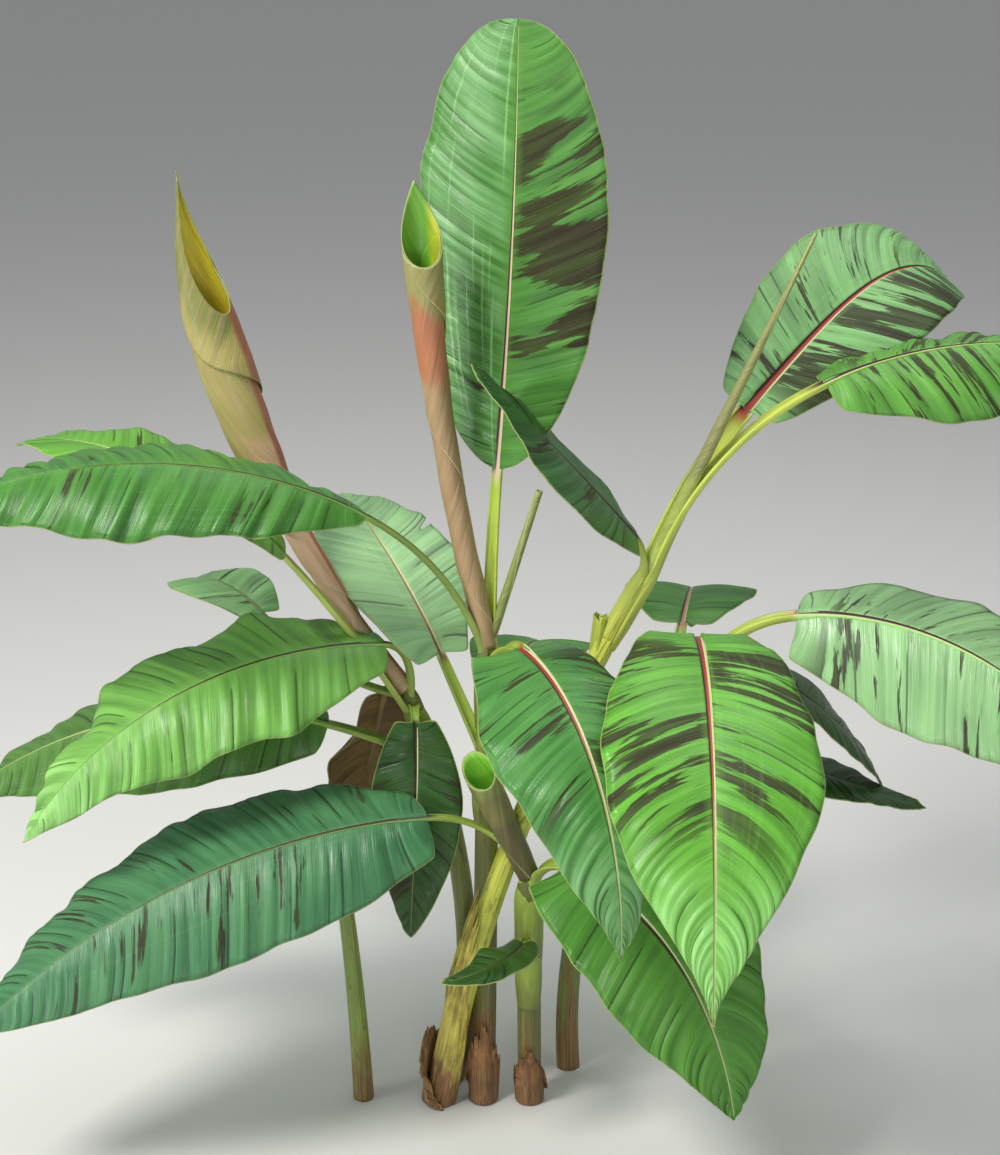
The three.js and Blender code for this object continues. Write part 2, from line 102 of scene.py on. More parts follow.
# Leaves. up: share of the stem where the stalk leaves it. bend, droop: how far the rise falls along
# stalk and blade. hook, late: over 1, it comes near the end. turn: of the heading, along the blade.
# roll: degrees that the left half lies higher. left, right: slope at the midrib and at the margin.
# slim: the midrib's width against the usual one. wave: how far the halves swing, waves: how often.
DEFAULT_LEAF = dict(
    turn=0, roll=0, left=(12, -10), right=(12, -10), widest=0.4, base=0.5, tip=0.8, lobes=(0.02, 0.02),
    hook=1, late=1, wave=0, waves=2, slim=1,
)
LEAF_SIZES = {
    "tall": dict(
        stem="main", up=0.97, heading=57, rise=90, petiole=0.208, bend=9, blade=0.472, width=0.236,
        droop=-8, left=(12, -6), right=(10, -8), widest=0.57, tip=0.4, lobes=(0, 0), slim=0.7,
    ),
    "folded": dict(
        stem="leaning", up=0.985, heading=194, rise=100, petiole=0.044, bend=50, blade=0.28, width=0.136,
        droop=4, turn=6, roll=-26, left=(5, -10), right=(-10, -20), widest=0.42, base=0.55, tip=0.9,
        lobes=(0.03, 0.02),
    ),
    "arching_left": dict(
        stem="main", up=0.96, heading=195, rise=74, petiole=0.225, bend=42, blade=0.475, width=0.19,
        droop=58, turn=-16, left=(-25, -65), right=(5, -15), widest=0.48, base=0.8, tip=0.7, slim=0.75,
    ),
    "pale_back": dict(
        stem="main", up=0.75, heading=130, rise=51, petiole=0.13, bend=0, blade=0.32, width=0.165, droop=60,
        turn=-25, lobes=(0.03, 0.03),
    ),
    "small_back": dict(
        stem="left", up=0.97, heading=149, rise=-5, petiole=0.215, bend=-42, blade=0.17, width=0.115,
        droop=80, turn=-30,
    ),
    "wavy_left": dict(
        stem="left", up=0.95, heading=205, rise=98, petiole=0.095, bend=90, hook=2, blade=0.48, width=0.19,
        droop=66, late=1.2, turn=-5, left=(-30, -60), right=(8, 5), tip=0.9, wave=0.008, waves=3, slim=0.75,
    ),
    "under_left": dict(
        stem="left", up=0.82, heading=182, rise=27, petiole=0.125, bend=12, blade=0.46, width=0.18,
        droop=56, turn=-5, left=(-50, -75), right=(5, -5), tip=0.9,
    ),
    "low_left": dict(
        stem="front", up=0.95, heading=195, rise=78, petiole=0.164, bend=76, blade=0.555, width=0.22,
        droop=44, turn=5, left=(-35, -65), right=(10, 5), widest=0.38, tip=0.75, lobes=(0.04, 0.02),
        slim=0.6,
    ),
    "withered": dict(
        stem="left", up=0.97, heading=130, rise=45, petiole=0.055, bend=117, blade=0.27, width=0.13,
        droop=0, left=(20, -30), right=(20, -30),
    ),
    "hanging": dict(
        stem="left", up=0.94, heading=-84, rise=60, petiole=0.05, bend=130, blade=0.25, width=0.11,
        droop=15, turn=-34, left=(20, -20), right=(20, -20),
    ),
    "front": dict(
        stem="main", up=0.87, heading=-65, rise=95, petiole=0.138, bend=92, blade=0.4, width=0.198,
        droop=98, turn=-2, roll=20, left=(-10, -50), right=(10, -10), widest=0.36, base=0.45, tip=1.1,
        lobes=(0.052, 0.068),
    ),
    "broad_front": dict(
        stem="back", up=0.985, heading=-90, rise=92, petiole=0.12, bend=82, blade=0.505, width=0.224,
        droop=88, turn=-3, left=(12, -20), right=(14, -14), widest=0.5, base=0.42, tip=1.4,
        lobes=(0.05, 0.05),
    ),
    "right": dict(
        stem="back", up=0.99, heading=-13, rise=71, petiole=0.154, bend=64, blade=0.415, width=0.225,
        droop=60, turn=-25, left=(5, 0), right=(-45, -75), base=0.45, lobes=(0.02, 0.04),
    ),
    "upper_right": dict(
        stem="leaning", up=0.985, heading=14, rise=71, petiole=0.29, bend=50, blade=0.38, width=0.19,
        droop=40, turn=-20, left=(0, -20), right=(-25, -75), tip=0.85,
    ),
    "far_right": dict(
        stem="leaning", up=0.97, heading=36, rise=64, petiole=0.225, bend=28, blade=0.4, width=0.192,
        droop=105, late=3, turn=5, roll=30, left=(8, -8), right=(8, -8), widest=0.5, tip=0.75, slim=1.4,
    ),
    "shaded_right": dict(
        stem="back", up=0.95, heading=13, rise=62, petiole=0.1, bend=90, blade=0.24, width=0.11, droop=35,
        roll=10, left=(8, -8), right=(8, -20), tip=0.85,
    ),
    "low_front": dict(
        stem="front", up=0.9, heading=-42, rise=92, petiole=0.088, bend=92, blade=0.36, width=0.2, droop=80,
        turn=-9, roll=28, left=(5, -20), right=(10, -5), base=0.45, tip=0.85, lobes=(0.03, 0.05),
    ),
    "dark_right": dict(
        stem="back", up=0.86, heading=7, rise=20, petiole=0.05, bend=45, blade=0.29, width=0.12, droop=-5,
        turn=-6, left=(8, -8), right=(8, -20), tip=0.85,
    ),
    "hidden_back": dict(
        stem="left", up=0.9, heading=184, rise=60, petiole=0.255, bend=10, blade=0.4, width=0.15, droop=75,
        turn=-55,
    ),
    "small_low": dict(
        stem="front", up=0.7, heading=-100, rise=45, petiole=0.04, bend=35, blade=0.135, width=0.062,
        droop=25, turn=-75, left=(8, -8), right=(8, -8), tip=0.85,
    ),
    "back_main": dict(
        stem="main", up=0.74, heading=76, rise=55, petiole=0.12, bend=45, blade=0.33, width=0.15, droop=62,
        turn=4, left=(12, -14), right=(12, -14), tip=0.85,
    ),
    "back_right": dict(
        stem="back", up=0.92, heading=80, rise=62, petiole=0.115, bend=52, blade=0.345, width=0.16,
        droop=64, turn=6, left=(12, -14), right=(12, -14), tip=0.85,
    ),
}
LEAVES = {name: {**DEFAULT_LEAF, **own} for name, own in LEAF_SIZES.items()}

# Rolled new leaves. widths: evenly spaced from foot to mouth. rim: the mouth's width as a share of the
# last. slant: how much higher the rim stands on the side that it leans to. dip: how far its low side
# sinks. hood: how far the high side bends over, power: how round its tip is. turns: how often the sheet
# is wound. free: degrees round the roll where the sheet's free edge meets the mouth, and twist: how fast
# that edge winds down round it. low, middle, high: the outside's colour from foot to tip. changes: shares
# of the length where it changes. line: another colour in a thin line up the right side, and flush:
# another for the right half of the inside.
DEFAULT_ROLLED = dict(
    bend=0, mouth=False, rim=1, slant=0, leans=0, dip=0, hood=0, power=2, free=90, changes=(0.6, 0.86),
    line=None, flush=None,
)
ROLLED = {
    "tall": dict(
        stem="main", up=0.98, heading=180, rise=76, length=0.434, bend=-10,
        widths=(0.021, 0.026, 0.027, 0.027, 0.03, 0.035, 0.04), mouth=True, rim=1.25, slant=0.085,
        leans=100, hood=0.4, power=1.15, turns=1.45, free=-60, twist=-36, low=(0.41, 0.255, 0.14),
        middle=(0.44, 0.13, 0.065), high=(0.29, 0.28, 0.09), inner=(0.14, 0.38, 0.03),
        changes=(0.72, 0.88), flush=(0.6, 0.56, 0.03),
    ),
    "left": dict(
        stem="left", up=0.98, heading=165, rise=49, length=0.53, bend=-30,
        widths=(0.024, 0.024, 0.031, 0.052, 0.066, 0.063), mouth=True, rim=0.95, slant=0.115, leans=140,
        dip=0.05, hood=1, turns=1.4, free=95, twist=-46, low=(0.6, 0.37, 0.23), middle=(0.4, 0.34, 0.11),
        high=(0.19, 0.2, 0.045), inner=(0.66, 0.56, 0.04), changes=(0.6, 0.88), line=(0.32, 0.07, 0.035),
    ),
    "thin": dict(
        stem="main", up=0.98, heading=0, rise=73, length=0.188, widths=(0.012, 0.01, 0.008), turns=1.6,
        twist=-20, low=(0.2, 0.25, 0.06), middle=(0.26, 0.28, 0.08), high=(0.3, 0.32, 0.1),
        inner=(0.2, 0.35, 0.05),
    ),
    "open": dict(
        stem="front", up=0.98, heading=198, rise=67, length=0.135, widths=(0.026, 0.032, 0.038),
        mouth=True, slant=0.032, leans=100, hood=0.1, turns=1.4, free=200, twist=-20,
        low=(0.1, 0.075, 0.03), middle=(0.17, 0.15, 0.05), high=(0.2, 0.24, 0.06),
        inner=(0.24, 0.6, 0.05),
    ),
    "right": dict(
        stem="leaning", up=0.985, heading=14, rise=64, length=0.405,
        widths=(0.015, 0.015, 0.012, 0.008, 0.004), turns=1.6, twist=-18, low=(0.36, 0.44, 0.08),
        middle=(0.26, 0.25, 0.1), high=(0.3, 0.3, 0.1), inner=(0.2, 0.35, 0.05), changes=(0.3, 0.86),
    ),
}

STUB = dict(stem="leaning", up=0.8, heading=20, rise=84, length=0.07, wide=0.022, top=0.02)

# Looks of each leaf. green: the upper side's main colour. streaks: how much maroon the left and the
# right half carry, 0 for none. until: share of the blade where they end. sparse: how much fewer they are
# in the lower half. bands: how much they join to broad bands. bow: how far the side veins sweep to the
# tip. pleat, fold, ripple: how far the side veins, the wider folds and the margin stand out of the blade.
# pitch, fold_pitch: from pleat to pleat and from fold to fold. uneven: how far the margin's width
# wanders. rib: the midrib's left edge, middle and right edge; where one edge is dark red and the other
# cream, the dark red line is painted shadow on the channel's shaded side, and the cream line partly
# painted light on its lit side. fade: where these begin to turn pale.
# shine: roughness. dull_right: how much rougher the right half is. gloss: how strongly it reflects.
# stalk: the stalk's colour. tears: how many open along a side vein. painted_sheen_lines: how plainly pale
# lines of painted sheen run beside the midrib on the left half. painted_left_sheen: how much paler the
# left half is between its veins, a painted sheen. painted_tip_sheen: where the paler tip of painted sheen
# begins, and how pale it is.
CRIMSON = (0.36, 0.006, 0.02)
# Painted shadow: the dark red line along the shaded edge of the midrib's channel.
PAINTED_SHADOW_RED = (0.045, 0.006, 0.008)
CREAM = (0.66, 0.66, 0.34)
MAROON = (0.024, 0.009, 0.005)
MARGIN = (0.4, 0.47, 0.15)
# Painted shade: a dark green for leaves that lie in shade, darker than their own colour.
PAINTED_SHADE_GREEN = (0.02, 0.07, 0.014)
MID_GREEN = (0.06, 0.21, 0.03)
DARK_RIB = (PAINTED_SHADOW_RED, (0.06, 0.014, 0.012), CREAM)
BROWN_RIB = ((0.1, 0.16, 0.05), (0.05, 0.02, 0.012), (0.07, 0.035, 0.016))
HANGING_RED_RIB = (CREAM, CRIMSON, PAINTED_SHADOW_RED)
HANGING_DARK_RIB = (CREAM, (0.03, 0.012, 0.008), PAINTED_SHADOW_RED)
PINK_RIB = (PAINTED_SHADOW_RED, (0.55, 0.22, 0.2), CREAM)
DEFAULT_LOOK = dict(
    green=MID_GREEN, streaks=(0.3, 0.3), until=0.86, sparse=0, bands=0.45, bow=0.62, pleat=0.0006,
    pitch=0.015, fold=0.0016, fold_pitch=0.038, ripple=0.003, uneven=0.03, rib=PINK_RIB, fade=0.45,
    shine=0.34, dull_right=0, gloss=0.34, stalk=(0.3, 0.42, 0.055), tears=0, painted_sheen_lines=0.1, painted_left_sheen=0,
    painted_tip_sheen=(0.7, 0),
)
LOOKS = {
    "tall": dict(
        green=(0.055, 0.19, 0.03), streaks=(0.3, 0.98), sparse=0.05, bands=0.62, bow=0.5, pleat=0.0009,
        ripple=0.002, uneven=0.015, rib=(PAINTED_SHADOW_RED, (0.72, 0.5, 0.42), CREAM), shine=0.2, dull_right=0.3,
        gloss=0.32, stalk=(0.44, 0.58, 0.07), painted_sheen_lines=0.9, painted_left_sheen=0.4,
    ),
    "folded": dict(
        green=(0.035, 0.12, 0.03), streaks=(0.5, 0.5), pitch=0.01, rib=BROWN_RIB, stalk=(0.4, 0.48, 0.07),
    ),
    "arching_left": dict(
        green=(0.05, 0.185, 0.03), streaks=(0.4, 0.2), bow=0.4, pleat=0.0008, fold=0.0042, fold_pitch=0.033,
        uneven=0.07, rib=BROWN_RIB, stalk=(0.2, 0.28, 0.05),
    ),
    "pale_back": dict(
        green=(0.25, 0.45, 0.21), streaks=(0.1, 0.1), pitch=0.01, rib=(CREAM, (0.2, 0.06, 0.06), CREAM),
        shine=0.42, tears=1,
    ),
    "small_back": dict(green=(0.25, 0.5, 0.19), streaks=(0.5, 0.4), pitch=0.01, rib=DARK_RIB, tears=1),
    "wavy_left": dict(
        green=(0.15, 0.37, 0.07), streaks=(0.2, 0.08), bow=0.45, pleat=0.0012, fold=0.0034, ripple=0.006,
        uneven=0.05, rib=BROWN_RIB, painted_tip_sheen=(0.72, 0.5),
    ),
    "under_left": dict(
        green=(0.07, 0.19, 0.03), streaks=(0.12, 0.1), bow=0.45, fold=0.003,
        rib=((0.2, 0.28, 0.06), (0.5, 0.52, 0.2), CREAM),
    ),
    "low_left": dict(
        green=(0.055, 0.18, 0.08), streaks=(0.66, 0.35), bow=0.45, pleat=0.0011, fold=0.003, rib=BROWN_RIB,
        shine=0.3,
    ),
    "withered": dict(
        green=(0.11, 0.03, 0.009), streaks=(0.5, 0.5), fold=0.006, ripple=0.01, uneven=0.1, rib=DARK_RIB,
        stalk=(0.2, 0.12, 0.04), tears=6,
    ),
    "hanging": dict(green=PAINTED_SHADE_GREEN, streaks=(0.6, 0.6), rib=HANGING_DARK_RIB),
    "front": dict(
        green=(0.065, 0.23, 0.05), streaks=(0.7, 0.62), until=0.62, pleat=0.0008, pitch=0.013, fold=0.0022,
        uneven=0.05, rib=HANGING_RED_RIB, fade=0.3, shine=0.28, painted_tip_sheen=(0.6, 0.5),
    ),
    "broad_front": dict(
        green=(0.11, 0.35, 0.038), streaks=(0.98, 0.84), until=0.66, pleat=0.0008, pitch=0.013,
        rib=HANGING_RED_RIB, shine=0.28, painted_tip_sheen=(0.66, 0.8),
    ),
    # right: its pale, whitish green is partly painted sheen, paler than the leaf's own green.
    "right": dict(
        green=(0.27, 0.5, 0.22), streaks=(0.45, 0.62), bands=0.3, rib=(PAINTED_SHADOW_RED, (0.6, 0.26, 0.24), CREAM),
        shine=0.25, gloss=0.5, stalk=(0.5, 0.6, 0.09),
    ),
    "upper_right": dict(
        green=(0.1, 0.3, 0.045), streaks=(0.92, 0.86), bands=0.3, fold=0.003, ripple=0.007, uneven=0.05,
        rib=DARK_RIB, stalk=(0.58, 0.66, 0.1),
    ),
    # far_right: its pale green is partly painted sheen, paler than the leaf's own green.
    "far_right": dict(
        green=(0.18, 0.4, 0.14), streaks=(0.62, 1.05), bands=0.35, rib=(PAINTED_SHADOW_RED, CRIMSON, CREAM), fade=0.8,
        stalk=(0.46, 0.54, 0.08),
    ),
    "shaded_right": dict(green=PAINTED_SHADE_GREEN, streaks=(0.5, 0.5)),
    "low_front": dict(
        green=(0.06, 0.2, 0.026), streaks=(0.2, 0.15), pleat=0.0011, fold=0.004, uneven=0.05,
        rib=HANGING_DARK_RIB, tears=1,
    ),
    "dark_right": dict(green=PAINTED_SHADE_GREEN, streaks=(0.4, 0.4), rib=DARK_RIB),
    "hidden_back": dict(green=(0.1, 0.3, 0.035), stalk=(0.48, 0.58, 0.12), tears=1),
    # small_low's green is painted shade: darker than its own colour because the leaf lies in shade.
    "small_low": dict(green=(0.022, 0.075, 0.012), streaks=(0.2, 0.2), rib=BROWN_RIB),
}
looks = {name: {**DEFAULT_LOOK, **LOOKS.get(name, {})} for name in LEAVES}


def unit(vectors):
    """The vectors, made one long."""
    return vectors / np.maximum(np.linalg.norm(vectors, axis=-1, keepdims=True), 1e-12)


def smooth(low, high, values):
    """0 below low, 1 above high, and smooth between."""
    t = np.clip((values - low) / (high - low), 0, 1)
    return t * t * (3 - 2 * t)


class Limb:
    """A limb walked pace by pace: at each mark its place, the way on and its left side. legs: each one's
    length, how far its rise falls and its heading turns, and, over 1, how late the fall comes."""

    def __init__(self, start, heading, rise, *legs):
        at = np.array(start, float)
        places, ways, sides, self.ends = [], [], [], []

        def mark(turned, risen):
            a, e = math.radians(turned), math.radians(risen)
            way = np.array([math.cos(e) * math.cos(a), math.cos(e) * math.sin(a), math.sin(e)])
            places.append(at.copy())
            ways.append(way)
            sides.append([-math.sin(a), math.cos(a), 0.0])
            return way

        for length, bend, turn, late in legs:
            paces = max(8, round(length / PACE))
            for i in range(paces):
                share = (i + 0.5) / paces
                way = mark(heading + turn * share, rise - bend * share**late)
                at = at + way * length / paces
            heading += turn
            rise -= bend
            self.ends.append(len(places))
        mark(heading, rise)
        self.at, self.way, self.side = np.array(places), np.array(ways), np.array(sides)
        self.last = len(places) - 1

    def along(self, shares, first=0, last=None):
        """Place, way, left side and upper side at shares of the stretch between two marks."""
        last = self.last if last is None else last
        reach = np.clip(first + (last - first) * np.asarray(shares, float), 0, self.last)
        marks = np.arange(self.last + 1)

        def between(rows):
            return np.stack([np.interp(reach, marks, rows[:, k]) for k in range(3)], axis=-1)

        way, side = unit(between(self.way)), unit(between(self.side))
        return between(self.at), way, side, unit(np.cross(way, side))


def leaving(item, *legs):
    """A limb that leaves its stem at a share of the stem's length."""
    start = stem_limbs[item["stem"]].along([item["up"]])[0][0]
    return Limb(start, item["heading"], item["rise"], *legs)


stem_limbs = {
    name: Limb(
        (*stem["foot"], 0), stem["heading"], stem["rise"],
        (stem["length"], stem["bend"], stem.get("turn", 0), 1),
    )
    for name, stem in STEMS.items()
}
leaf_limbs = {
    name: leaving(
        leaf, (leaf["petiole"], leaf["bend"], 0, leaf["hook"]),
        (leaf["blade"], leaf["droop"], leaf["turn"], leaf["late"]),
    )
    for name, leaf in LEAVES.items()
}


def tapered(item, share):
    return item["wide"] + (item["top"] - item["wide"]) * share


def petiole_width(leaf, end):
    return max(PETIOLE_LEAST[end], leaf["width"] * PETIOLE_SHARE[end])


def half_width(leaf, s):
    """Half the blade's width at shares of its length."""
    rising = np.sin(np.pi / 2 * np.clip(s / leaf["widest"], 0, 1)) ** leaf["base"]
    falling = np.cos(np.pi / 2 * np.clip((s - leaf["widest"]) / (1 - leaf["widest"]), 0, 1)) ** leaf["tip"]
    shape = np.where(s < leaf["widest"], rising, falling)
    stalk = petiole_width(leaf, "top") / 2 * (1 - s)
    return np.maximum(np.maximum(leaf["width"] / 2 * shape, stalk), TIP_HALF_WIDTH)


def slope(angles, v):
    """How far out and up a half reaches at shares of its width, for a unit of half width, and its tilt."""
    start, turn = math.radians(angles[0]), math.radians(angles[1] - angles[0])
    tilt = start + turn * v
    if abs(turn) < 1e-3:
        return v * math.cos(start), v * math.sin(start), tilt
    return (np.sin(tilt) - math.sin(start)) / turn, (math.cos(start) - np.cos(tilt)) / turn, tilt


def rib_half(leaf, s):
    """Half the midrib's width at shares of the blade."""
    return 0.5 * petiole_width(leaf, "top") * leaf["slim"] * (0.09 + 0.58 * (1 - s) ** 1.2)


def rolled_over(side, up, roll):
    """The left and the upper side, turned about the way on."""
    return side * np.cos(roll) + up * np.sin(roll), up * np.cos(roll) - side * np.sin(roll)


def blade_points(name, s, v):
    """Points of the blade's surface, and the way out of its upper side, at shares along and across."""
    leaf, limb = LEAVES[name], leaf_limbs[name]
    at, way, side, up = limb.along(s, limb.ends[0])
    side, up = rolled_over(side, up, math.radians(leaf["roll"]))
    half = half_width(leaf, s)
    reach, sign = np.abs(v), np.sign(v)
    halves = zip(slope(leaf["left"], reach), slope(leaf["right"], reach))
    across, lift, tilt = (np.where(sign > 0, left, right) for left, right in halves)
    sweep = np.minimum(1, s / LOBE_START) * np.maximum(0, 1 - s / LOBE_REACH) ** 2
    out = np.maximum(0, (reach - LOBE_INNER) / (1 - LOBE_INNER))
    back = np.where(sign > 0, *leaf["lobes"]) * sweep * out**2
    wave = leaf["wave"] * np.sin(2 * np.pi * leaf["waves"] * s) * np.sin(np.pi * np.clip(s, 0, 1)) ** 0.5
    points = (
        at
        + side * (sign * across * half)[:, None]
        + up * (lift * half + wave * v * v * sign)[:, None]
        - way * back[:, None]
    )
    return points, unit(up * np.cos(tilt)[:, None] - side * (sign * np.sin(tilt))[:, None])


# Meshes


def vectors(*parts):
    """One vector for each point of a grid, out of three grids, rows, columns or numbers."""
    return np.stack([part.ravel() for part in np.broadcast_arrays(*parts)], axis=-1)


def mesh_piece(name, points, faces, materials, **attributes):
    """A smooth-shaded piece. attributes: one vector for each point."""
    mesh = bpy.data.meshes.new(name)
    mesh.from_pydata(points.tolist(), [], faces)
    for key, values in attributes.items():
        attribute = mesh.attributes.new(key, "FLOAT_VECTOR", "POINT")
        attribute.data.foreach_set("vector", values.astype(np.float32).ravel())
    for material in materials:
        mesh.materials.append(material)
    mesh.polygons.foreach_set("use_smooth", np.ones(len(mesh.polygons), bool))
    mesh.update()
    piece = bpy.data.objects.new(name, mesh)
    bpy.context.scene.collection.objects.link(piece)
    return piece


def grid_faces(rows, columns, closed=False):
    """Quads between rows of points; closed joins the last column to the first."""
    r, c = np.meshgrid(np.arange(rows - 1), np.arange(columns if closed else columns - 1), indexing="ij")
    a = (r * columns + c).ravel()
    b = (r * columns + (c + 1) % columns).ravel()
    return np.stack([a, b, b + columns, a + columns], axis=-1)


def rings(at, side, up, x, y):
    """Points round a limb, a ring for each mark: x towards its left side and y towards its upper side."""
    points = at[:, None] + side[:, None] * x[..., None] + up[:, None] * y[..., None]
    return points.reshape(-1, 3)


def tube_piece(name, points, rows, material, dip=0, **attributes):
    """A tube of rings, closed by a fan at both ends. dip: how far the last fan's middle is sunk."""
    columns = len(points) // rows
    last = (rows - 1) * columns
    faces = grid_faces(rows, columns, closed=True).tolist()
    for k in range(columns):
        after = (k + 1) % columns
        faces.append((rows * columns, after, k))
        faces.append((rows * columns + 1, last + k, last + after))

    def capped(values):
        return np.vstack([values, values[:columns].mean(0), values[last:].mean(0)])

    points = capped(points)
    points[-1] -= dip
    attributes = {key: capped(values) for key, values in attributes.items()}
    return mesh_piece(name, points, faces, [material], **attributes)


def thicken(piece, thickness, under=0, rim=0):
    """A sheet's thickness, below its points, with the materials of its under side and of its rim."""
    solid = piece.modifiers.new("thickness", "SOLIDIFY")
    solid.thickness = thickness
    solid.offset = -1
    solid.material_offset = under
    solid.material_offset_rim = rim
    return piece


def as_part(piece, node, slot):
    """The piece rides on the plant's one body and stands for this solid."""
    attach(piece, "root")
    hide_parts(node)


# Finishes


class Value:
    """A node's output. Sums, differences and products of it are nodes in their turn."""

    def __init__(self, finish, socket):
        self.finish = finish
        self.socket = socket

    def __add__(self, other):
        return self.finish.math("ADD", self, other)

    def __sub__(self, other):
        return self.finish.math("SUBTRACT", self, other)

    def __rsub__(self, other):
        return self.finish.math("SUBTRACT", other, self)

    def __mul__(self, other):
        return self.finish.math("MULTIPLY", self, other)


class Finish:
    """A material written node by node. Each input takes a number, a colour or a Value."""

    def __init__(self, name, roughness=0.5, coat=0.0, gloss=0.5):
        self.material = bpy.data.materials.new(name)
        self.material.use_nodes = True
        self.tree = self.material.node_tree
        self.surface = self.tree.nodes["Principled BSDF"].inputs
        self.surface["Roughness"].default_value = roughness
        self.surface["Specular IOR Level"].default_value = gloss
        self.surface["Coat Weight"].default_value = coat
        self.surface["Coat Roughness"].default_value = 0.22

    def put(self, value, socket):
        if isinstance(value, Value):
            self.tree.links.new(value.socket, socket)
        elif isinstance(value, tuple):
            socket.default_value = (*value, 1.0)
        else:
            socket.default_value = value

    def node(self, kind, inputs, output=0, **settings):
        """One output of a new node. inputs: by number or name."""
        node = self.tree.nodes.new(kind)
        for key, value in settings.items():
            setattr(node, key, value)
        for key, value in inputs.items():
            self.put(value, node.inputs[key])
        return Value(self, node.outputs[output])

    def attribute(self, name):
        """The three numbers of a piece's own vector attribute."""
        vector = self.node("ShaderNodeAttribute", {}, "Vector", attribute_name=name)
        split = self.tree.nodes.new("ShaderNodeSeparateXYZ")
        self.put(vector, split.inputs[0])
        return [Value(self, output) for output in split.outputs]

    def math(self, operation, *values):
        return self.node("ShaderNodeMath", dict(enumerate(values)), operation=operation)

    def step(self, value, low, high):
        """0 where the value is below low, 1 where it is above high, and smooth between."""
        return self.node("ShaderNodeMapRange", {0: value, 1: low, 2: high}, interpolation_type="SMOOTHSTEP")

    def noise(self, x, y, z, detail=2.0, roughness=0.5):
        place = self.node("ShaderNodeCombineXYZ", {0: x, 1: y, 2: z})
        inputs = {"Vector": place, "Scale": 1.0, "Detail": detail, "Roughness": roughness}
        return self.node("ShaderNodeTexNoise", inputs)

    def mix(self, factor, a, b):
        inputs = {0: factor, 6: a, 7: b}
        return self.node("ShaderNodeMix", inputs, 2, data_type="RGBA", clamp_factor=True)

    def paint(self, colour, mask=None):
        """The first colour, or another over what there is as far as the mask goes."""
        self.skin = colour if mask is None else self.mix(mask, self.skin, colour)

    def finished(self, roughness=None, height=None, depth=0.0):
        """The material, with its colour, and its roughness and relief where it has them."""
        self.put(self.skin, self.surface["Base Color"])
        if height is not None:
            self.put(roughness, self.surface["Roughness"])
            bump = self.node("ShaderNodeBump", {"Height": height, "Distance": depth, "Strength": 1.0})
            self.put(bump, self.surface["Normal"])
        return self.material


def shade(colour, factor, tint=(0, 0, 0)):
    return tuple(min(1.0, c * factor + t) for c, t in zip(colour, tint))


def streak_limit(amount):
    """The level of the blotches above which a half shows maroon: lower for a larger amount."""
    return 0.68 - 0.19 * amount


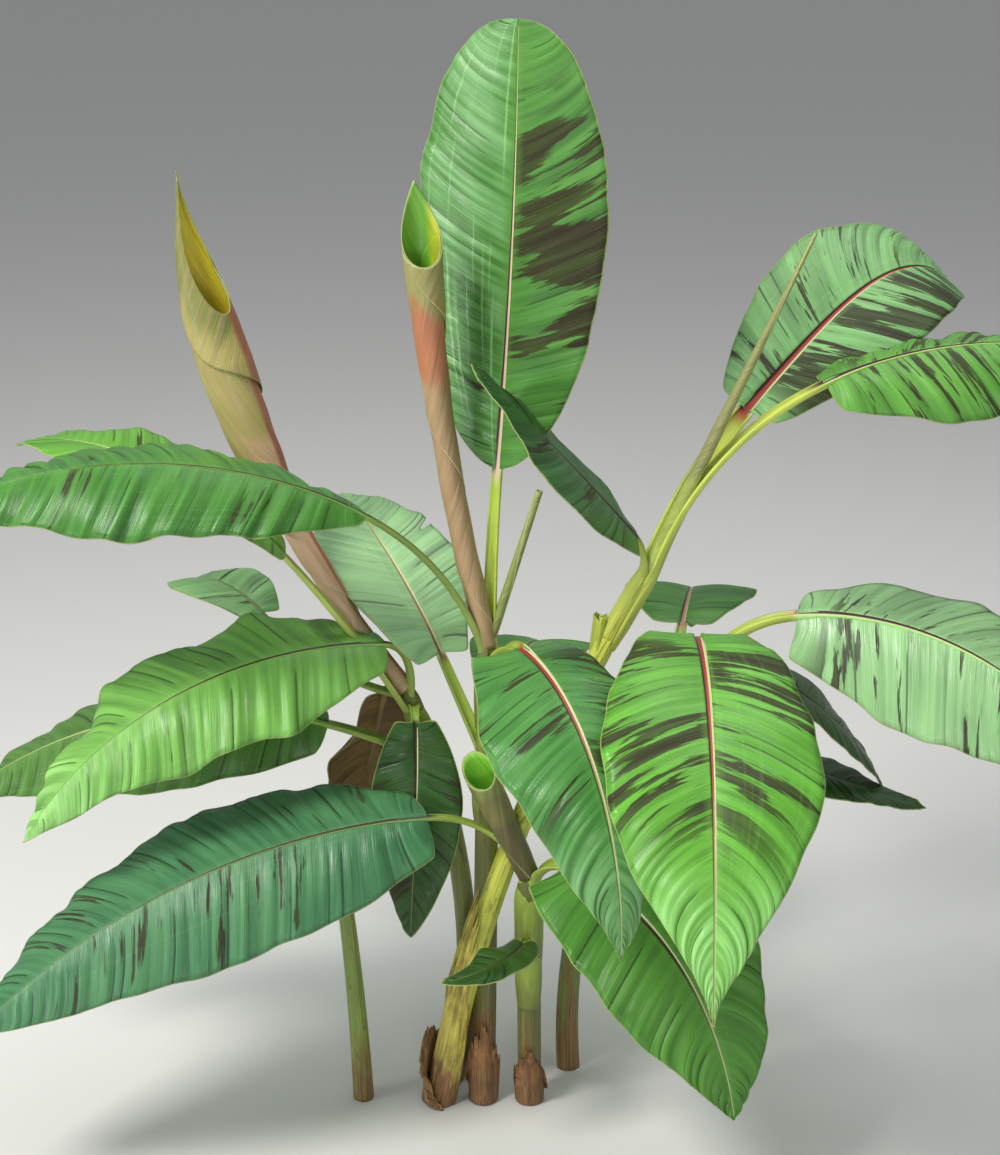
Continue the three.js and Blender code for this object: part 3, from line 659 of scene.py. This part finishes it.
def blade_finish(name, look, upper=True):
    """A blade: bands and fine lines along the side veins, painted shade in the pleats' troughs, painted
    light and shade on the folds, painted sheen where its look asks for it, maroon streaks and a cream
    margin.
    """
    shine = look["shine"] if upper else 0.55
    f = Finish(name, shine, gloss=look["gloss"] if upper else 0.25)
    along, out, seed = f.attribute("vein")
    share, across, edge = f.attribute("place")
    trough_shade, crest_light, _ = f.attribute("relief")

    def grain(lengthwise, outwards, shift, detail=2.0, roughness=0.5):
        return f.noise(along * lengthwise, out * outwards, seed + shift, detail, roughness)

    fine = f.step(grain(900, 14, 0.0), 0.3, 0.7)
    band = f.step(grain(110, 5, 3.0, 1), 0.35, 0.65)
    patch = f.step(grain(14, 10, 7.0, 3), 0.4, 0.66)
    green = look["green"] if upper else shade(look["green"], 1.3, (0.05, 0.07, 0.03))
    bright = shade(green, 1.2, (0.006, 0.012, 0))
    # Painted light and shade: the folds' crests lighter and their hollows darker, mixed with random bands
    # of tone.
    f.paint(f.mix(band * 0.55 + crest_light * 0.45, shade(green, 0.6), bright))
    f.paint(shade(green, 1.35, (0.03, 0.035, 0)), patch * 0.35)
    f.paint(shade(green, 1.5, (0.015, 0.03, 0.005)), fine * 0.2)
    # Painted sheen: the left half paler and whiter between its veins, standing in for its gloss.
    if look["painted_left_sheen"]:
        pale = (band * 0.4 + patch * 0.6) * f.step(across, 0.0, 0.12)
        f.paint(shade(green, 1.7, (0.22, 0.26, 0.24)), pale * look["painted_left_sheen"])
    # Painted sheen: paler, whiter bands near the tip, standing in for its gloss.
    start, tip_sheen = look["painted_tip_sheen"]
    if tip_sheen:
        near_tip = f.step(share, start, start + 0.2) * (band * 0.6 + crest_light * 0.4)
        f.paint(shade(green, 1.6, (0.24, 0.26, 0.22)), near_tip * tip_sheen)
    # Painted shade: dark lines in the pleats' troughs.
    f.paint(shade(green, 0.22), f.step(trough_shade, 0.1, 0.7) * 0.8)

    # Maroon streaks, where the blotches rise above each half's own limit.
    left_half = f.step(across, -0.01, 0.01)
    left, right = (streak_limit(amount * (1.0 if upper else 0.7)) for amount in look["streaks"])
    limit = left_half * (left - right) + right
    if look["sparse"]:
        limit = limit + (1 - f.step(share, 0.3, 0.55)) * look["sparse"]
    blotch = grain(110, 10, 11.0, 4, 0.6) * (1 - look["bands"]) + grain(20, 6, 13.0, 1) * look["bands"]
    streak = f.step(blotch + fine * 0.02 - limit, 0.0, 0.03)
    ended = f.step(share, look["until"] - 0.1, look["until"] + 0.09)
    streak = streak * (f.step(share, 0.04, 0.14) * (1 - ended)) * (fine * 0.14 + 0.86)
    stain = f.mix(band, MAROON, shade(MAROON, 1.2, (0.002, 0.022, 0)))
    f.paint(stain, streak * (0.97 if upper else 0.5))

    beside_rib = 1 - f.step(f.math("ABSOLUTE", across), 0.03, 0.12)
    f.paint(shade(green, 1.5, (0.05, 0.05, 0.01)), beside_rib * 0.2)
    # Painted sheen: pale lines on the left half, standing in for its gloss.
    sheen_line = f.step(f.noise(across * 22, share * 1.6, seed + 17.0, 1), 0.6, 0.7) * left_half
    f.paint(shade(green, 1.8, (0.2, 0.24, 0.18)), sheen_line * (look["painted_sheen_lines"] * (0.5 if upper else 0.1)))
    f.paint(MARGIN, (1 - f.step(edge, 0.0005, 0.0016)) * 0.65)
    dull = streak * 0.25 + (shine - 0.08)
    if upper and look["dull_right"]:
        dull = dull + (1 - left_half) * look["dull_right"]
    return f.finished(fine * 0.1 + patch * 0.1 + dull, fine * 0.5 + band * 0.7, 0.0004)


def rim_finish():
    f = Finish("leaf_margin")
    along, _, _ = f.attribute("vein")
    f.paint(f.mix(f.noise(along * 200, 0.0, 1.0), shade(MARGIN, 0.6), MARGIN))
    return f.finished()


def grain_of(f):
    """Noise in a piece's own lengthwise fibres: how fine across, how fine along, and a shift."""
    x, y, along = f.attribute("fibre")

    def grain(across, lengthwise, shift, detail=2.0, roughness=0.5):
        return f.noise(x * across, y * across, along * lengthwise + shift, detail, roughness)

    return grain


def stem_fibres(f, fibre, green):
    return f.mix(fibre, shade(green, 0.75), shade(green, 1.2, (0.01, 0.01, 0)))


def stalk_finish(name, look, stem_green):
    """Stalk and midrib: fibres along it, and a coloured channel on top within the blade. Where it
    wraps the stem its colour runs into the stem's."""
    f = Finish(name, 0.4, coat=0.15)
    grain = grain_of(f)
    share, channel, wrap = f.attribute("rib")
    place, _, _ = f.attribute("section")
    fibre = f.step(grain(900, 14, 0.0), 0.3, 0.7)
    patch = f.step(grain(60, 14, 5.0), 0.4, 0.7)
    green = look["stalk"]
    f.paint(f.mix(patch, shade(green, 0.75), shade(green, 1.1)))
    f.paint(shade(green, 1.4, (0.04, 0.04, 0.02)), fibre * 0.25)
    f.paint(f.mix(f.step(share + patch * 0.3, -1.8, -1.1), stem_fibres(f, fibre, stem_green), f.skin))
    f.paint(shade(look["green"], 1.6, (0.12, 0.14, 0.03)), f.step(share, -0.06, 0.04) * 0.7)
    fading = f.step(share, look["fade"], look["fade"] + 0.4)
    left_edge, middle, right_edge = look["rib"]
    in_channel = f.step(channel, 0.15, 0.6) * f.step(share, -0.12, 0.0) * (fibre * 0.12 + 0.88)
    f.paint(f.mix(fading, middle, shade(CREAM, 0.7)), in_channel)
    on_top = f.step(channel, -0.1, 0.05) * f.step(share, -0.04, 0.02)
    # Lines along the channel's two edges: a dark red one is painted shadow, a cream one is partly painted
    # light on the lit side.
    for outwards, edge in ((place, left_edge), (place * -1.0, right_edge)):
        far_edge = shade(CREAM, 0.7) if edge == CREAM else shade(look["green"], 0.9)
        f.paint(f.mix(fading, edge, far_edge), f.step(outwards, 0.3, 0.42) * on_top)
    f.paint(shade(green, 0.6, (0.03, 0.01, 0)), wrap * 0.35)
    return f.finished(fibre * 0.15 + 0.34, fibre, 0.0003)


def stem_finish(name, green, dry):
    """A stem of nested sheaths: fibres, dark blotches, brown sheath edges and a dry brown foot."""
    f = Finish(name, 0.45, coat=0.1)
    grain = grain_of(f)
    height, edge, _ = f.attribute("sheath")
    fibre = f.step(grain(800, 9, 0.0, 3), 0.3, 0.7)
    cloud = f.step(grain(50, 12, 4.0, 4, 0.65), 0.42, 0.66)
    f.paint(stem_fibres(f, fibre, green))
    f.paint((0.07, 0.04, 0.015), f.step(grain(110, 30, 8.0, 4, 0.6), 0.56, 0.66) * 0.5)
    low = 1 - f.step(height + cloud * 0.2, dry * 0.6, dry + 0.2)
    f.paint(f.mix(fibre, (0.11, 0.05, 0.018), (0.3, 0.16, 0.06)), low * 0.9)
    f.paint((0.16, 0.08, 0.03), (1 - f.step(edge, 0.0, 0.0022)) * 0.7)
    return f.finished(low * 0.3 + (fibre * 0.15 + 0.32), fibre + cloud * 0.5, 0.0004)


def sheath_finish(name, dark, light, foot):
    """Dry papery sheath: two colours in fibres, browner towards the ground, with darker stains."""
    f = Finish(name, 0.75)
    grain = grain_of(f)
    fibre = f.step(grain(700, 10, 0.0, 3), 0.3, 0.7)
    stain = f.step(grain(70, 22, 2.0, 4, 0.6), 0.45, 0.65)
    climb, _, _ = f.attribute("sheath")
    f.paint(f.mix(fibre, dark, light))
    low = 1 - f.step(climb + stain * 0.25, foot, foot + 0.3)
    f.paint(f.mix(fibre, (0.11, 0.05, 0.02), (0.34, 0.18, 0.07)), low)
    f.paint((0.07, 0.035, 0.015), stain * 0.6)
    return f.finished(fibre * 0.15 + 0.62, fibre, 0.0006)


def rolled_finish(name, colours, changes=(0.6, 0.86), flush=None, flushed=(0.2, 0.8)):
    """A rolled leaf: its colour changes twice from foot to tip, and the pleats slant round it, with painted
    shadow along them.
    flush: another colour for the right side, from the first to the second of flushed."""
    low, middle, high = colours
    f = Finish(name, 0.42, coat=0.1)
    around, rightward, along = f.attribute("fibre")
    share, edge, seed = f.attribute("roll")
    slant = along * 60 + around * -110
    pleat = f.step(f.noise(slant, around * 8, seed, 1), 0.38, 0.62)
    fine = f.step(f.noise(slant * 7.0, around * 12, seed), 0.3, 0.7)
    climb = share + f.noise(around * 30, along * 14, seed, 3) * 0.25
    f.paint(f.mix(f.step(climb, changes[0] + 0.08, changes[0] + 0.18), low, middle))
    f.paint(high, f.step(climb, changes[1] + 0.08, changes[1] + 0.16))
    if flush:
        f.paint(flush, f.step(rightward, *flushed))
    # Painted shadow: darker along the slanting pleats.
    f.paint(shade(low, 0.6), pleat * 0.35)
    f.paint(shade(high, 1.3, (0.03, 0.05, 0)), fine * 0.2)
    f.paint((0.42, 0.5, 0.2), (1 - f.step(edge, 0.0006, 0.0016)) * 0.8)
    return f.finished(fine * 0.15 + 0.35, pleat + fine * 0.5, 0.0005)


# Blades

ROW_PACE = 0.0018
SHEET_THICKNESS = 0.0009
BLADE_COLUMNS = 12
MOST_BOW = 0.16
BLADE_SEED = 100
TEAR_FADE = 0.02
RIPPLE_PITCH = 0.09
SLOW_WANDER = 0.19
QUICK_WANDER = 0.07
rim_material = rim_finish()


def vein_marks(length):
    """Where the side veins leave the midrib, as shares of the blade: closer together at both ends."""
    marks = np.linspace(0, 1, 3000)
    density = 1 / (0.35 + 0.65 * smooth(0, 0.06, marks) * (1 - smooth(0.94, 1, marks)))
    total = np.cumsum(density) - density[0]
    return np.interp(np.linspace(0, 1, round(length / ROW_PACE)), total / total[-1], marks)


def waver(chance, values, pitch, unevenness=0.9, creased=False):
    """A wave of about this pitch along the values, wandering; creased, its troughs are sharp."""
    a, b, c, d = chance.uniform(0, 2 * np.pi, 4)
    phase = 2 * np.pi * values / pitch + a
    phase = phase + unevenness * np.sin(2 * np.pi * values / (pitch * 5.3) + b)
    phase = phase + unevenness * np.sin(2 * np.pi * values / (pitch * 3.1) + c)
    shape = 2 * np.abs(np.sin(phase / 2)) ** 0.8 - 1 if creased else np.sin(phase)
    return shape * (0.8 + 0.35 * np.sin(2 * np.pi * values / (pitch * 4.3) + d))


def blade_piece(name, number):
    """One blade: rows follow the side veins, so the pleats, folds and tears run along them."""
    leaf, look = LEAVES[name], looks[name]
    length = leaf["blade"]
    chance = np.random.default_rng(BLADE_SEED + number)
    q = vein_marks(length)[:, None]
    rib = rib_half(leaf, q)
    inner = np.minimum(rib / half_width(leaf, q), 0.5)
    beyond = 1.4 * inner + (1 - 1.4 * inner) * np.linspace(0, 1, BLADE_COLUMNS)
    one_side = np.hstack([inner * 0, inner * 0.6, inner * 0.92, beyond])
    v = np.hstack([one_side[:, ::-1], -one_side[:, 1:]])
    lowered = np.concatenate([[0.8, 0.75], np.zeros(BLADE_COLUMNS + 1)])
    lowered = rib * np.concatenate([lowered[::-1], lowered[1:]])
    reach = np.abs(v)
    bow = min(MOST_BOW, look["bow"] * leaf["width"] / 2 / length)
    s = q + bow * 1.9 * q**0.75 * (1 - q**3) * (0.75 * reach + 0.25 * reach**2)
    # A tear parts two rows from a side vein's middle out to the margin.
    torn = np.zeros((len(q) - 1, v.shape[1] - 1), bool)
    for _ in range(look["tears"]):
        where, side = chance.uniform(0.25, 0.88), chance.choice([-1, 1])
        begin, gap = chance.uniform(0.62, 0.9), chance.uniform(0.003, 0.009) / length
        row = int(np.searchsorted(q[:, 0], where))
        opening = np.clip((reach - begin) / (1 - begin), 0, 1) * (v * side > 0)
        distance = (np.arange(len(q)) - row + 0.5)[:, None] * ROW_PACE
        s = s + np.sign(distance) * 0.5 * gap * opening * np.exp(-np.abs(distance) / TEAR_FADE)
        torn[row - 1] |= (opening[row, :-1] > 0) & (opening[row, 1:] > 0)
    s = np.clip(s, 0, 1)
    along = q * length + 0 * v
    half = half_width(leaf, s)
    ease = smooth(0, 0.08, q) * (1 - 0.7 * smooth(0.9, 1, q))
    raised, trough_shade, crest_light = np.zeros_like(v), np.zeros_like(v), np.zeros_like(v)
    for side in (1, -1):
        here = v * side > 0
        ribbing = waver(chance, along, look["pitch"], 0.7, creased=True) * smooth(0.03, 0.35, reach)
        folding = waver(chance, along, look["fold_pitch"])
        pleats = look["pleat"] * ribbing * (1 - 0.6 * smooth(0.8, 1, reach))
        folds = look["fold"] * folding * reach * (1 - 0.5 * reach)
        ripples = look["ripple"] * waver(chance, s * length, RIPPLE_PITCH) * reach**3
        # How deep in a pleat's trough each point lies, for the shade painted there.
        trough_shade = np.where(here, smooth(0.25, 1, -ribbing), trough_shade)
        # How far each point lies towards a fold's crest, for the light painted on crests and the shade
        # painted in hollows.
        crest_light = np.where(here, 0.5 + 0.5 * folding * smooth(0.1, 0.5, reach), crest_light)
        raised = np.where(here, pleats + folds + ripples, raised)
    wander = np.ones_like(v)
    for side in (1, -1):
        slow, quick = chance.uniform(0, 2 * np.pi, 2)
        swing = 0.7 * np.sin(2 * np.pi * s * length / SLOW_WANDER + slow)
        swing = swing + 0.3 * np.sin(2 * np.pi * s * length / QUICK_WANDER + quick)
        wander = np.where(v * side > 0, 1 + look["uneven"] * (swing - 0.6) * ease * reach, wander)
    points, outwards = blade_points(name, s.ravel(), (v * wander).ravel())
    points = points + outwards * (raised * ease - lowered).reshape(-1, 1)
    materials = [blade_finish(f"upper_{name}", look), blade_finish(f"under_{name}", look, upper=False)]
    piece = mesh_piece(
        f"leaf_{name}", points, grid_faces(*v.shape)[~torn.ravel()].tolist(), [*materials, rim_material],
        vein=vectors(along + 0.4 * (v < 0), reach * half, number * 2.7),
        place=vectors(s, v, (1 - reach) * half), relief=vectors(trough_shade, crest_light, 0),
    )
    return thicken(piece, SHEET_THICKNESS, under=1, rim=2)


# Stalks

STALK_PACE = 0.004
WRAP_LENGTH = 0.085
WRAP_RISE = 0.03
WRAP_STEP = 0.0009
WRAP_EASE = 0.0006
WRAP_ARC = 118.0
STALK_ARC = 100.0
OUTER_POINTS = 15
INNER_POINTS = 9
STUB_SEED = 7
STUB_ROWS = 20
STUB_HOLLOW = 0.008
# How deep in the channel each point of a stalk's section lies: round its back, then across its hollow.
CHANNEL = [0.08, *[-0.3] * (OUTER_POINTS - 2), 0.08, 0.25, *[1.0] * (INNER_POINTS - 2), 0.25]


def eased(values, passes=8):
    """The rows with their corners smoothed."""
    values = np.array(values, float)
    for _ in range(passes):
        values[1:-1] = (values[:-2] + 2 * values[1:-1] + values[2:]) / 4
    return values


def stalk_tube(name, look, stem_green, marks, radius, arc, share, walked, wrapped, teeth=0, dip=0):
    """A channelled stalk. marks: its places, left sides and upper sides. arc: how far its back reaches
    round. share: along the blade, below 0 before it. wrapped: 1 where it lies round the stem."""
    outer = np.linspace(-1, 1, OUTER_POINTS)
    inner = np.linspace(1, -1, INNER_POINTS)
    arc = np.radians(arc)[:, None]
    x = np.hstack([np.sin(outer * arc), 0.72 * np.sin(inner * arc)])
    z = np.hstack([-np.cos(outer * arc), 0.12 - 0.38 * np.cos(inner * arc)]) - 0.2
    wide, high = x * radius[:, None], z * radius[:, None]
    return tube_piece(
        f"stalk_{name}", rings(*marks, wide, high) + teeth, len(radius),
        stalk_finish(f"stalk_{name}", look, stem_green), dip,
        fibre=vectors(wide, high, walked[:, None]), section=vectors(x, 0, 0),
        rib=vectors(share[:, None], CHANNEL, wrapped[:, None]),
    )


def wrap_rank(leaf):
    """How many stalks of the same stem leave it above this one: each lies outside those above it."""
    return sum(other["stem"] == leaf["stem"] and other["up"] > leaf["up"] for other in LEAVES.values())


def stalk_piece(name, number):
    """A leaf's stalk: it wraps the stem, leaves it as a channelled petiole and runs on as the midrib."""
    leaf, limb = LEAVES[name], leaf_limbs[name]
    stem = STEMS[leaf["stem"]]
    first = max(0.02, leaf["up"] - WRAP_LENGTH / stem["length"])
    wrap_rows = round((leaf["up"] - first) * stem["length"] / STALK_PACE)
    shares = np.linspace(first, leaf["up"], wrap_rows, endpoint=False)
    at_wrap, way_wrap, _, _ = stem_limbs[leaf["stem"]].along(shares)
    petiole_rows = max(8, round(leaf["petiole"] / STALK_PACE))
    on_petiole = np.arange(petiole_rows) / petiole_rows
    at_petiole, way_petiole, side_petiole, _ = limb.along(on_petiole, 0, limb.ends[0])
    s = np.linspace(0, 0.985, round(leaf["blade"] / STALK_PACE))
    at_rib, way_rib, side_rib, _ = limb.along(s, limb.ends[0])
    free_rows = petiole_rows + len(s)
    at = eased(np.vstack([at_wrap, at_petiole, at_rib]))
    way = unit(eased(np.vstack([way_wrap, way_petiole, way_rib])))
    side = np.vstack([np.tile(side_petiole[0], (wrap_rows, 1)), side_petiole, side_rib])
    side = unit(side - way * np.sum(side * way, axis=-1, keepdims=True))
    roll = np.concatenate([0 * shares, smooth(0, 1, on_petiole), np.ones(len(s))])
    side, up = rolled_over(side, np.cross(way, side), (roll * math.radians(leaf["roll"]))[:, None])
    rising = smooth(first, first + WRAP_RISE / stem["length"], shares)
    wrap_step = WRAP_EASE + WRAP_STEP * wrap_rank(leaf)
    wrap_radius = tapered(stem, shares) / 2 - WRAP_EASE + rising * wrap_step
    wide, top = petiole_width(leaf, "wide"), petiole_width(leaf, "top")
    petiole_radius = (wide + (top - wide) * on_petiole) / 2 * leaf["slim"]
    rib_radius = rib_half(leaf, s) + 0.16 * top * leaf["slim"] * (1 - smooth(0, 0.1, s))
    radius = eased(np.concatenate([wrap_radius, petiole_radius, rib_radius]), 12)
    arc = eased(np.concatenate([np.full(wrap_rows, WRAP_ARC), np.full(free_rows, STALK_ARC)]), 12)
    walked = np.arange(len(at)) * STALK_PACE + number * 1.7
    share = np.concatenate([np.linspace(-2, -1, wrap_rows, endpoint=False), on_petiole - 1, s])
    wrapped = eased(np.concatenate([np.ones(wrap_rows), np.zeros(free_rows)]))
    return stalk_tube(
        name, looks[name], stem["green"], (at, side, up), radius, arc, share, walked, wrapped,
    )


def stub_piece():
    """The cut stalk on the leaning stem, with a jagged, hollow top."""
    chance = np.random.default_rng(STUB_SEED)
    rows, columns = STUB_ROWS, len(CHANNEL)
    share = np.linspace(0, 1, rows)
    at, way, side, up = leaving(STUB, (STUB["length"], 0, 0, 1)).along(share)
    teeth = np.outer(smooth(0.8, 1, share), chance.uniform(-0.006, 0.002, columns)).reshape(-1, 1)
    return stalk_tube(
        "stub", {**DEFAULT_LOOK, "stalk": (0.42, 0.5, 0.06)}, STEMS[STUB["stem"]]["green"],
        (at, side, up), tapered(STUB, share) / 2, np.full(rows, STALK_ARC), np.full(rows, -1.0),
        share * STUB["length"], np.zeros(rows), np.repeat(way, columns, axis=0) * teeth,
        way[-1] * STUB_HOLLOW,
    )


# Stems and sheaths

STEM_PACE = 0.005
STEM_COLUMNS = 72
STEM_TIP = 0.025
SHEET_PACE = 0.004
SHEATH_COLUMNS = 49
SHEATH_EASE = 0.0026
SHEATH_THICKNESS = 0.001
SHEATH_SEED = 300
GROUND_EASE = 0.0012
WRINKLE = 0.0004


def stem_piece(name, number):
    """A stem of nested sheaths: each free edge runs up it as a low step, leaning round the stem."""
    stem = STEMS[name]
    length, twist = stem["length"], stem["twist"]
    rows = round(length / STEM_PACE)
    share = np.linspace(0, 1, rows)
    height = share * length
    at, way, side, up = stem_limbs[name].along(share)
    radius = tapered(stem, share) / 2 * (1 - 0.45 * smooth(length - STEM_TIP, length, height))
    theta = 2 * np.pi * np.arange(STEM_COLUMNS) / STEM_COLUMNS
    steps = [
        np.mod((theta - begin - number - lean * height[:, None]) / (2 * np.pi), 1)
        for lean, begin in ((twist, 0.4), (twist * -0.6, 3.1))
    ]
    radii = radius[:, None] + (0.001 * (steps[0] - 0.6) + 0.0007 * (steps[1] - 0.6))
    x, y = radii * np.cos(theta), radii * np.sin(theta)
    points = rings(at, side, up, x, y)
    foot = points[:STEM_COLUMNS]
    points[:STEM_COLUMNS] = foot - way[0] * (foot[:, 2:3] / way[0, 2])
    edge = (1 - np.maximum(*steps)) * 2 * np.pi * radius[:, None]
    return tube_piece(
        f"trunk_{name}", points, rows, stem_finish(f"stem_finish_{name}", stem["green"], stem["dry"]),
        fibre=vectors(x, y, height[:, None] + number * 1.3), sheath=vectors(share[:, None], edge, 0),
    )


def sheath_piece(name, number):
    """A dry sheath: a thin wrinkled shell round its stem, with loose margins and a torn, pointed top."""
    sheath = SHEATHS[name]
    stem_name = sheath.get("stem", name)
    stem = STEMS[stem_name]
    chance = np.random.default_rng(SHEATH_SEED + number)
    rows = max(24, round(sheath["high"] * stem["length"] / SHEET_PACE))
    c = np.linspace(-1, 1, SHEATH_COLUMNS)
    w = np.linspace(0, 1, rows)[:, None]
    teeth = sum(
        chance.uniform(0.02, 0.05) * np.sin(k * np.pi * c + chance.uniform(0, 2 * np.pi))
        for k in (3, 7, 13, 19)
    )
    top = 1 - 0.55 * np.abs(c - chance.uniform(-0.3, 0.3)) ** 1.3 + teeth - teeth.max()
    lowest = 0.0015 / stem["length"]
    share = np.clip((sheath["high"] * top + lowest) * w, lowest, 1)
    at, way, _, _ = stem_limbs[stem_name].along(share.ravel())
    angle = np.radians(sheath["facing"] + sheath["spread"] * (1 - 0.35 * w**2) * c)
    away = vectors(np.cos(angle), np.sin(angle), 0)
    away = unit(away - way * np.sum(away * way, axis=-1, keepdims=True))
    loose = sheath["flare"] * w**4 + 0.0012 * c**4
    wrinkle = WRINKLE * np.sin(14 * c * np.pi + 3 * w) * smooth(0, 0.2, w)
    radius = tapered(stem, share) / 2 + SHEATH_EASE + sheath.get("out", 0) + loose + wrinkle
    points = at + away * radius.reshape(-1, 1)
    points[:, 2] = np.maximum(points[:, 2], GROUND_EASE)
    finish = sheath_finish(f"dry_sheath_{name}", sheath["dark"], sheath["light"], sheath["foot"])
    piece = mesh_piece(
        f"dry_{name}", points, grid_faces(rows, SHEATH_COLUMNS).tolist(), [finish],
        fibre=vectors(angle * radius, 0, share * stem["length"] + number), sheath=vectors(w, 0 * c, 0),
    )
    return thicken(piece, SHEATH_THICKNESS)


# Rolled leaves

ROLL_COLUMNS = 84
ROLL_PLEAT_TURN = 65.626
ROLL_PLEAT = 0.0004
MOUTH_SHARE = 0.2
SHUT_SHARE = 0.001
SHUT_EDGE = 0.01
THINNEST_ROLL = 0.0008
LINE_BAND = (0.9, 0.985)


def rolled_piece(name, number):
    """A leaf still rolled up: one sheet wound round its length, with a slanted mouth where it opens."""
    r = {**DEFAULT_ROLLED, **ROLLED[name]}
    length = r["length"]
    limb = leaving(r, (length, r["bend"], 0, 1))
    rows = round(length / SHEET_PACE)
    w = np.linspace(0, 1, rows)[:, None]
    u = np.linspace(0, 1, ROLL_COLUMNS)
    _, _, end_side, end_up = limb.along([1])
    leans = math.radians(r["leans"])
    lean = np.array([math.cos(leans), math.sin(leans), 0])
    high_angle = math.atan2(float(lean @ end_up[0]), float(lean @ end_side[0]))
    begin = math.radians(r["free"]) - r["twist"] * length * (1 - w)
    angle = begin + 2 * np.pi * r["turns"] * u
    open_share = MOUTH_SHARE if r["mouth"] else SHUT_SHARE
    t = np.clip((w - 1 + open_share) / open_share, 0, 1)
    high_side = 1 - np.abs(np.sin((angle - high_angle) / 2)) ** r["power"]
    distance = length * w + (r["slant"] * high_side - r["dip"] * (1 - high_side)) * t
    at, way, side, up = limb.along(np.minimum(1, distance / length).ravel())
    at = at + way * np.maximum(0, distance - length).reshape(-1, 1)
    half = np.interp(w.ravel(), np.linspace(0, 1, len(r["widths"])), r["widths"])[:, None] / 2
    opened = 1 + (r["rim"] - 1) * t - r["hood"] * high_side * t**2.5
    wound = half * (1 - 0.08 * r["turns"] * u) * opened
    pleats = ROLL_PLEAT * np.sin(ROLL_PLEAT_TURN * (distance + 0.8 * angle * half))
    pleats = pleats * smooth(0.05, 0.2, w)
    radius = np.maximum(wound + pleats * (half > 0.006), THINNEST_ROLL)
    x, y = (radius * np.cos(angle)).reshape(-1, 1), (radius * np.sin(angle)).reshape(-1, 1)
    shut_edge = 0 if r["mouth"] else SHUT_EDGE
    edge = np.minimum((angle - begin) * half, (1 - w) * length + shut_edge)
    fibre = vectors(angle * half, np.sin(angle), distance)
    outside = r["low"], r["middle"], r["high"]
    outside = rolled_finish(f"roll_outer_{name}", outside, r["changes"], r["line"], LINE_BAND)
    inside = rolled_finish(f"roll_inner_{name}", [r["inner"]] * 3, flush=r["flush"])
    piece = mesh_piece(
        f"roll_{name}", at + side * x + up * y, grid_faces(rows, ROLL_COLUMNS).tolist(),
        [outside, inside, rim_material],
        fibre=fibre, roll=vectors(w, edge, number * 3.1), vein=fibre,
    )
    return thicken(piece, SHEET_THICKNESS, under=1, rim=2)


# The plant

for number, name in enumerate(STEMS):
    as_part(stem_piece(name, number), f"stem_{name}", "stem")
for number, name in enumerate(SHEATHS):
    as_part(sheath_piece(name, number), f"sheath_{name}", "sheath")
as_part(stub_piece(), "petiole_stub", "petiole")
for number, name in enumerate(LEAVES):
    as_part(stalk_piece(name, number), f"petiole_{name}", "petiole")
    as_part(blade_piece(name, number), f"blade_{name}", "withered" if name == "withered" else "blade")
for number, name in enumerate(ROLLED):
    as_part(rolled_piece(name, number), f"rolled_{name}", "rolled")


# Floor, light and camera

FLOOR_HALF = 30
FLOOR_DROP = 0.0002
MIDDLE = (0.05, 0, 0.6)
LOWER_LEAVES = (0.2, -0.35, 0.3)
SENSOR_WIDTH = 36
FOCAL_PIXELS = 2255
PHOTO_HEIGHT_PIXELS = 1155
CAMERA_PLACE = (0.02, -2.3, 1.5)
CAMERA_RISE = math.radians(69.9)

scene = bpy.context.scene
floor_finish = Finish("floor", 0.85)
floor_finish.paint((0.72, 0.71, 0.69))
corners = np.array([(-1, -1, 0), (1, -1, 0), (1, 1, 0), (-1, 1, 0)]) * FLOOR_HALF - (0, 0, FLOOR_DROP)
floor = mesh_piece("floor", corners, [(0, 1, 2, 3)], [floor_finish.finished()])

world = bpy.data.worlds.new("studio")
scene.world = world
world.use_nodes = True
background = world.node_tree.nodes["Background"].inputs
background["Color"].default_value = (0.9, 0.93, 0.96, 1)
background["Strength"].default_value = 0.34
scene.view_settings.view_transform = "Standard"


def soft_light(name, place, target, size, power, colour):
    lamp = bpy.data.lights.new(name, "AREA")
    lamp.size = size
    lamp.energy = power
    lamp.color = colour
    light = bpy.data.objects.new(name, lamp)
    light.location = place
    light.rotation_euler = (Vector(target) - Vector(place)).to_track_quat("-Z", "Y").to_euler()
    scene.collection.objects.link(light)


soft_light("key", (-1.5, -1.2, 2.9), MIDDLE, 0.9, 82, (1, 0.98, 0.93))
soft_light("fill", (2.4, -1.8, 1.6), MIDDLE, 2.2, 9, (0.95, 0.97, 1))
soft_light("side", (-2.5, -1.1, 0.85), (0, 0, 0.95), 1.0, 21, (0.96, 0.98, 1))
soft_light("low", (0.25, -3.0, 0.45), LOWER_LEAVES, 0.5, 13, (0.97, 0.99, 1))
soft_light("above", (0.6, 0.9, 3.2), MIDDLE, 2.0, 34, (0.98, 0.99, 1))

lens = bpy.data.cameras.new("camera")
lens.sensor_width = SENSOR_WIDTH
lens.lens = SENSOR_WIDTH * FOCAL_PIXELS / PHOTO_HEIGHT_PIXELS
camera = bpy.data.objects.new("camera", lens)
camera.location = CAMERA_PLACE
camera.rotation_euler = (CAMERA_RISE, 0, 0)
scene.collection.objects.link(camera)
scene.camera = camera

bpy.context.view_layer.update()
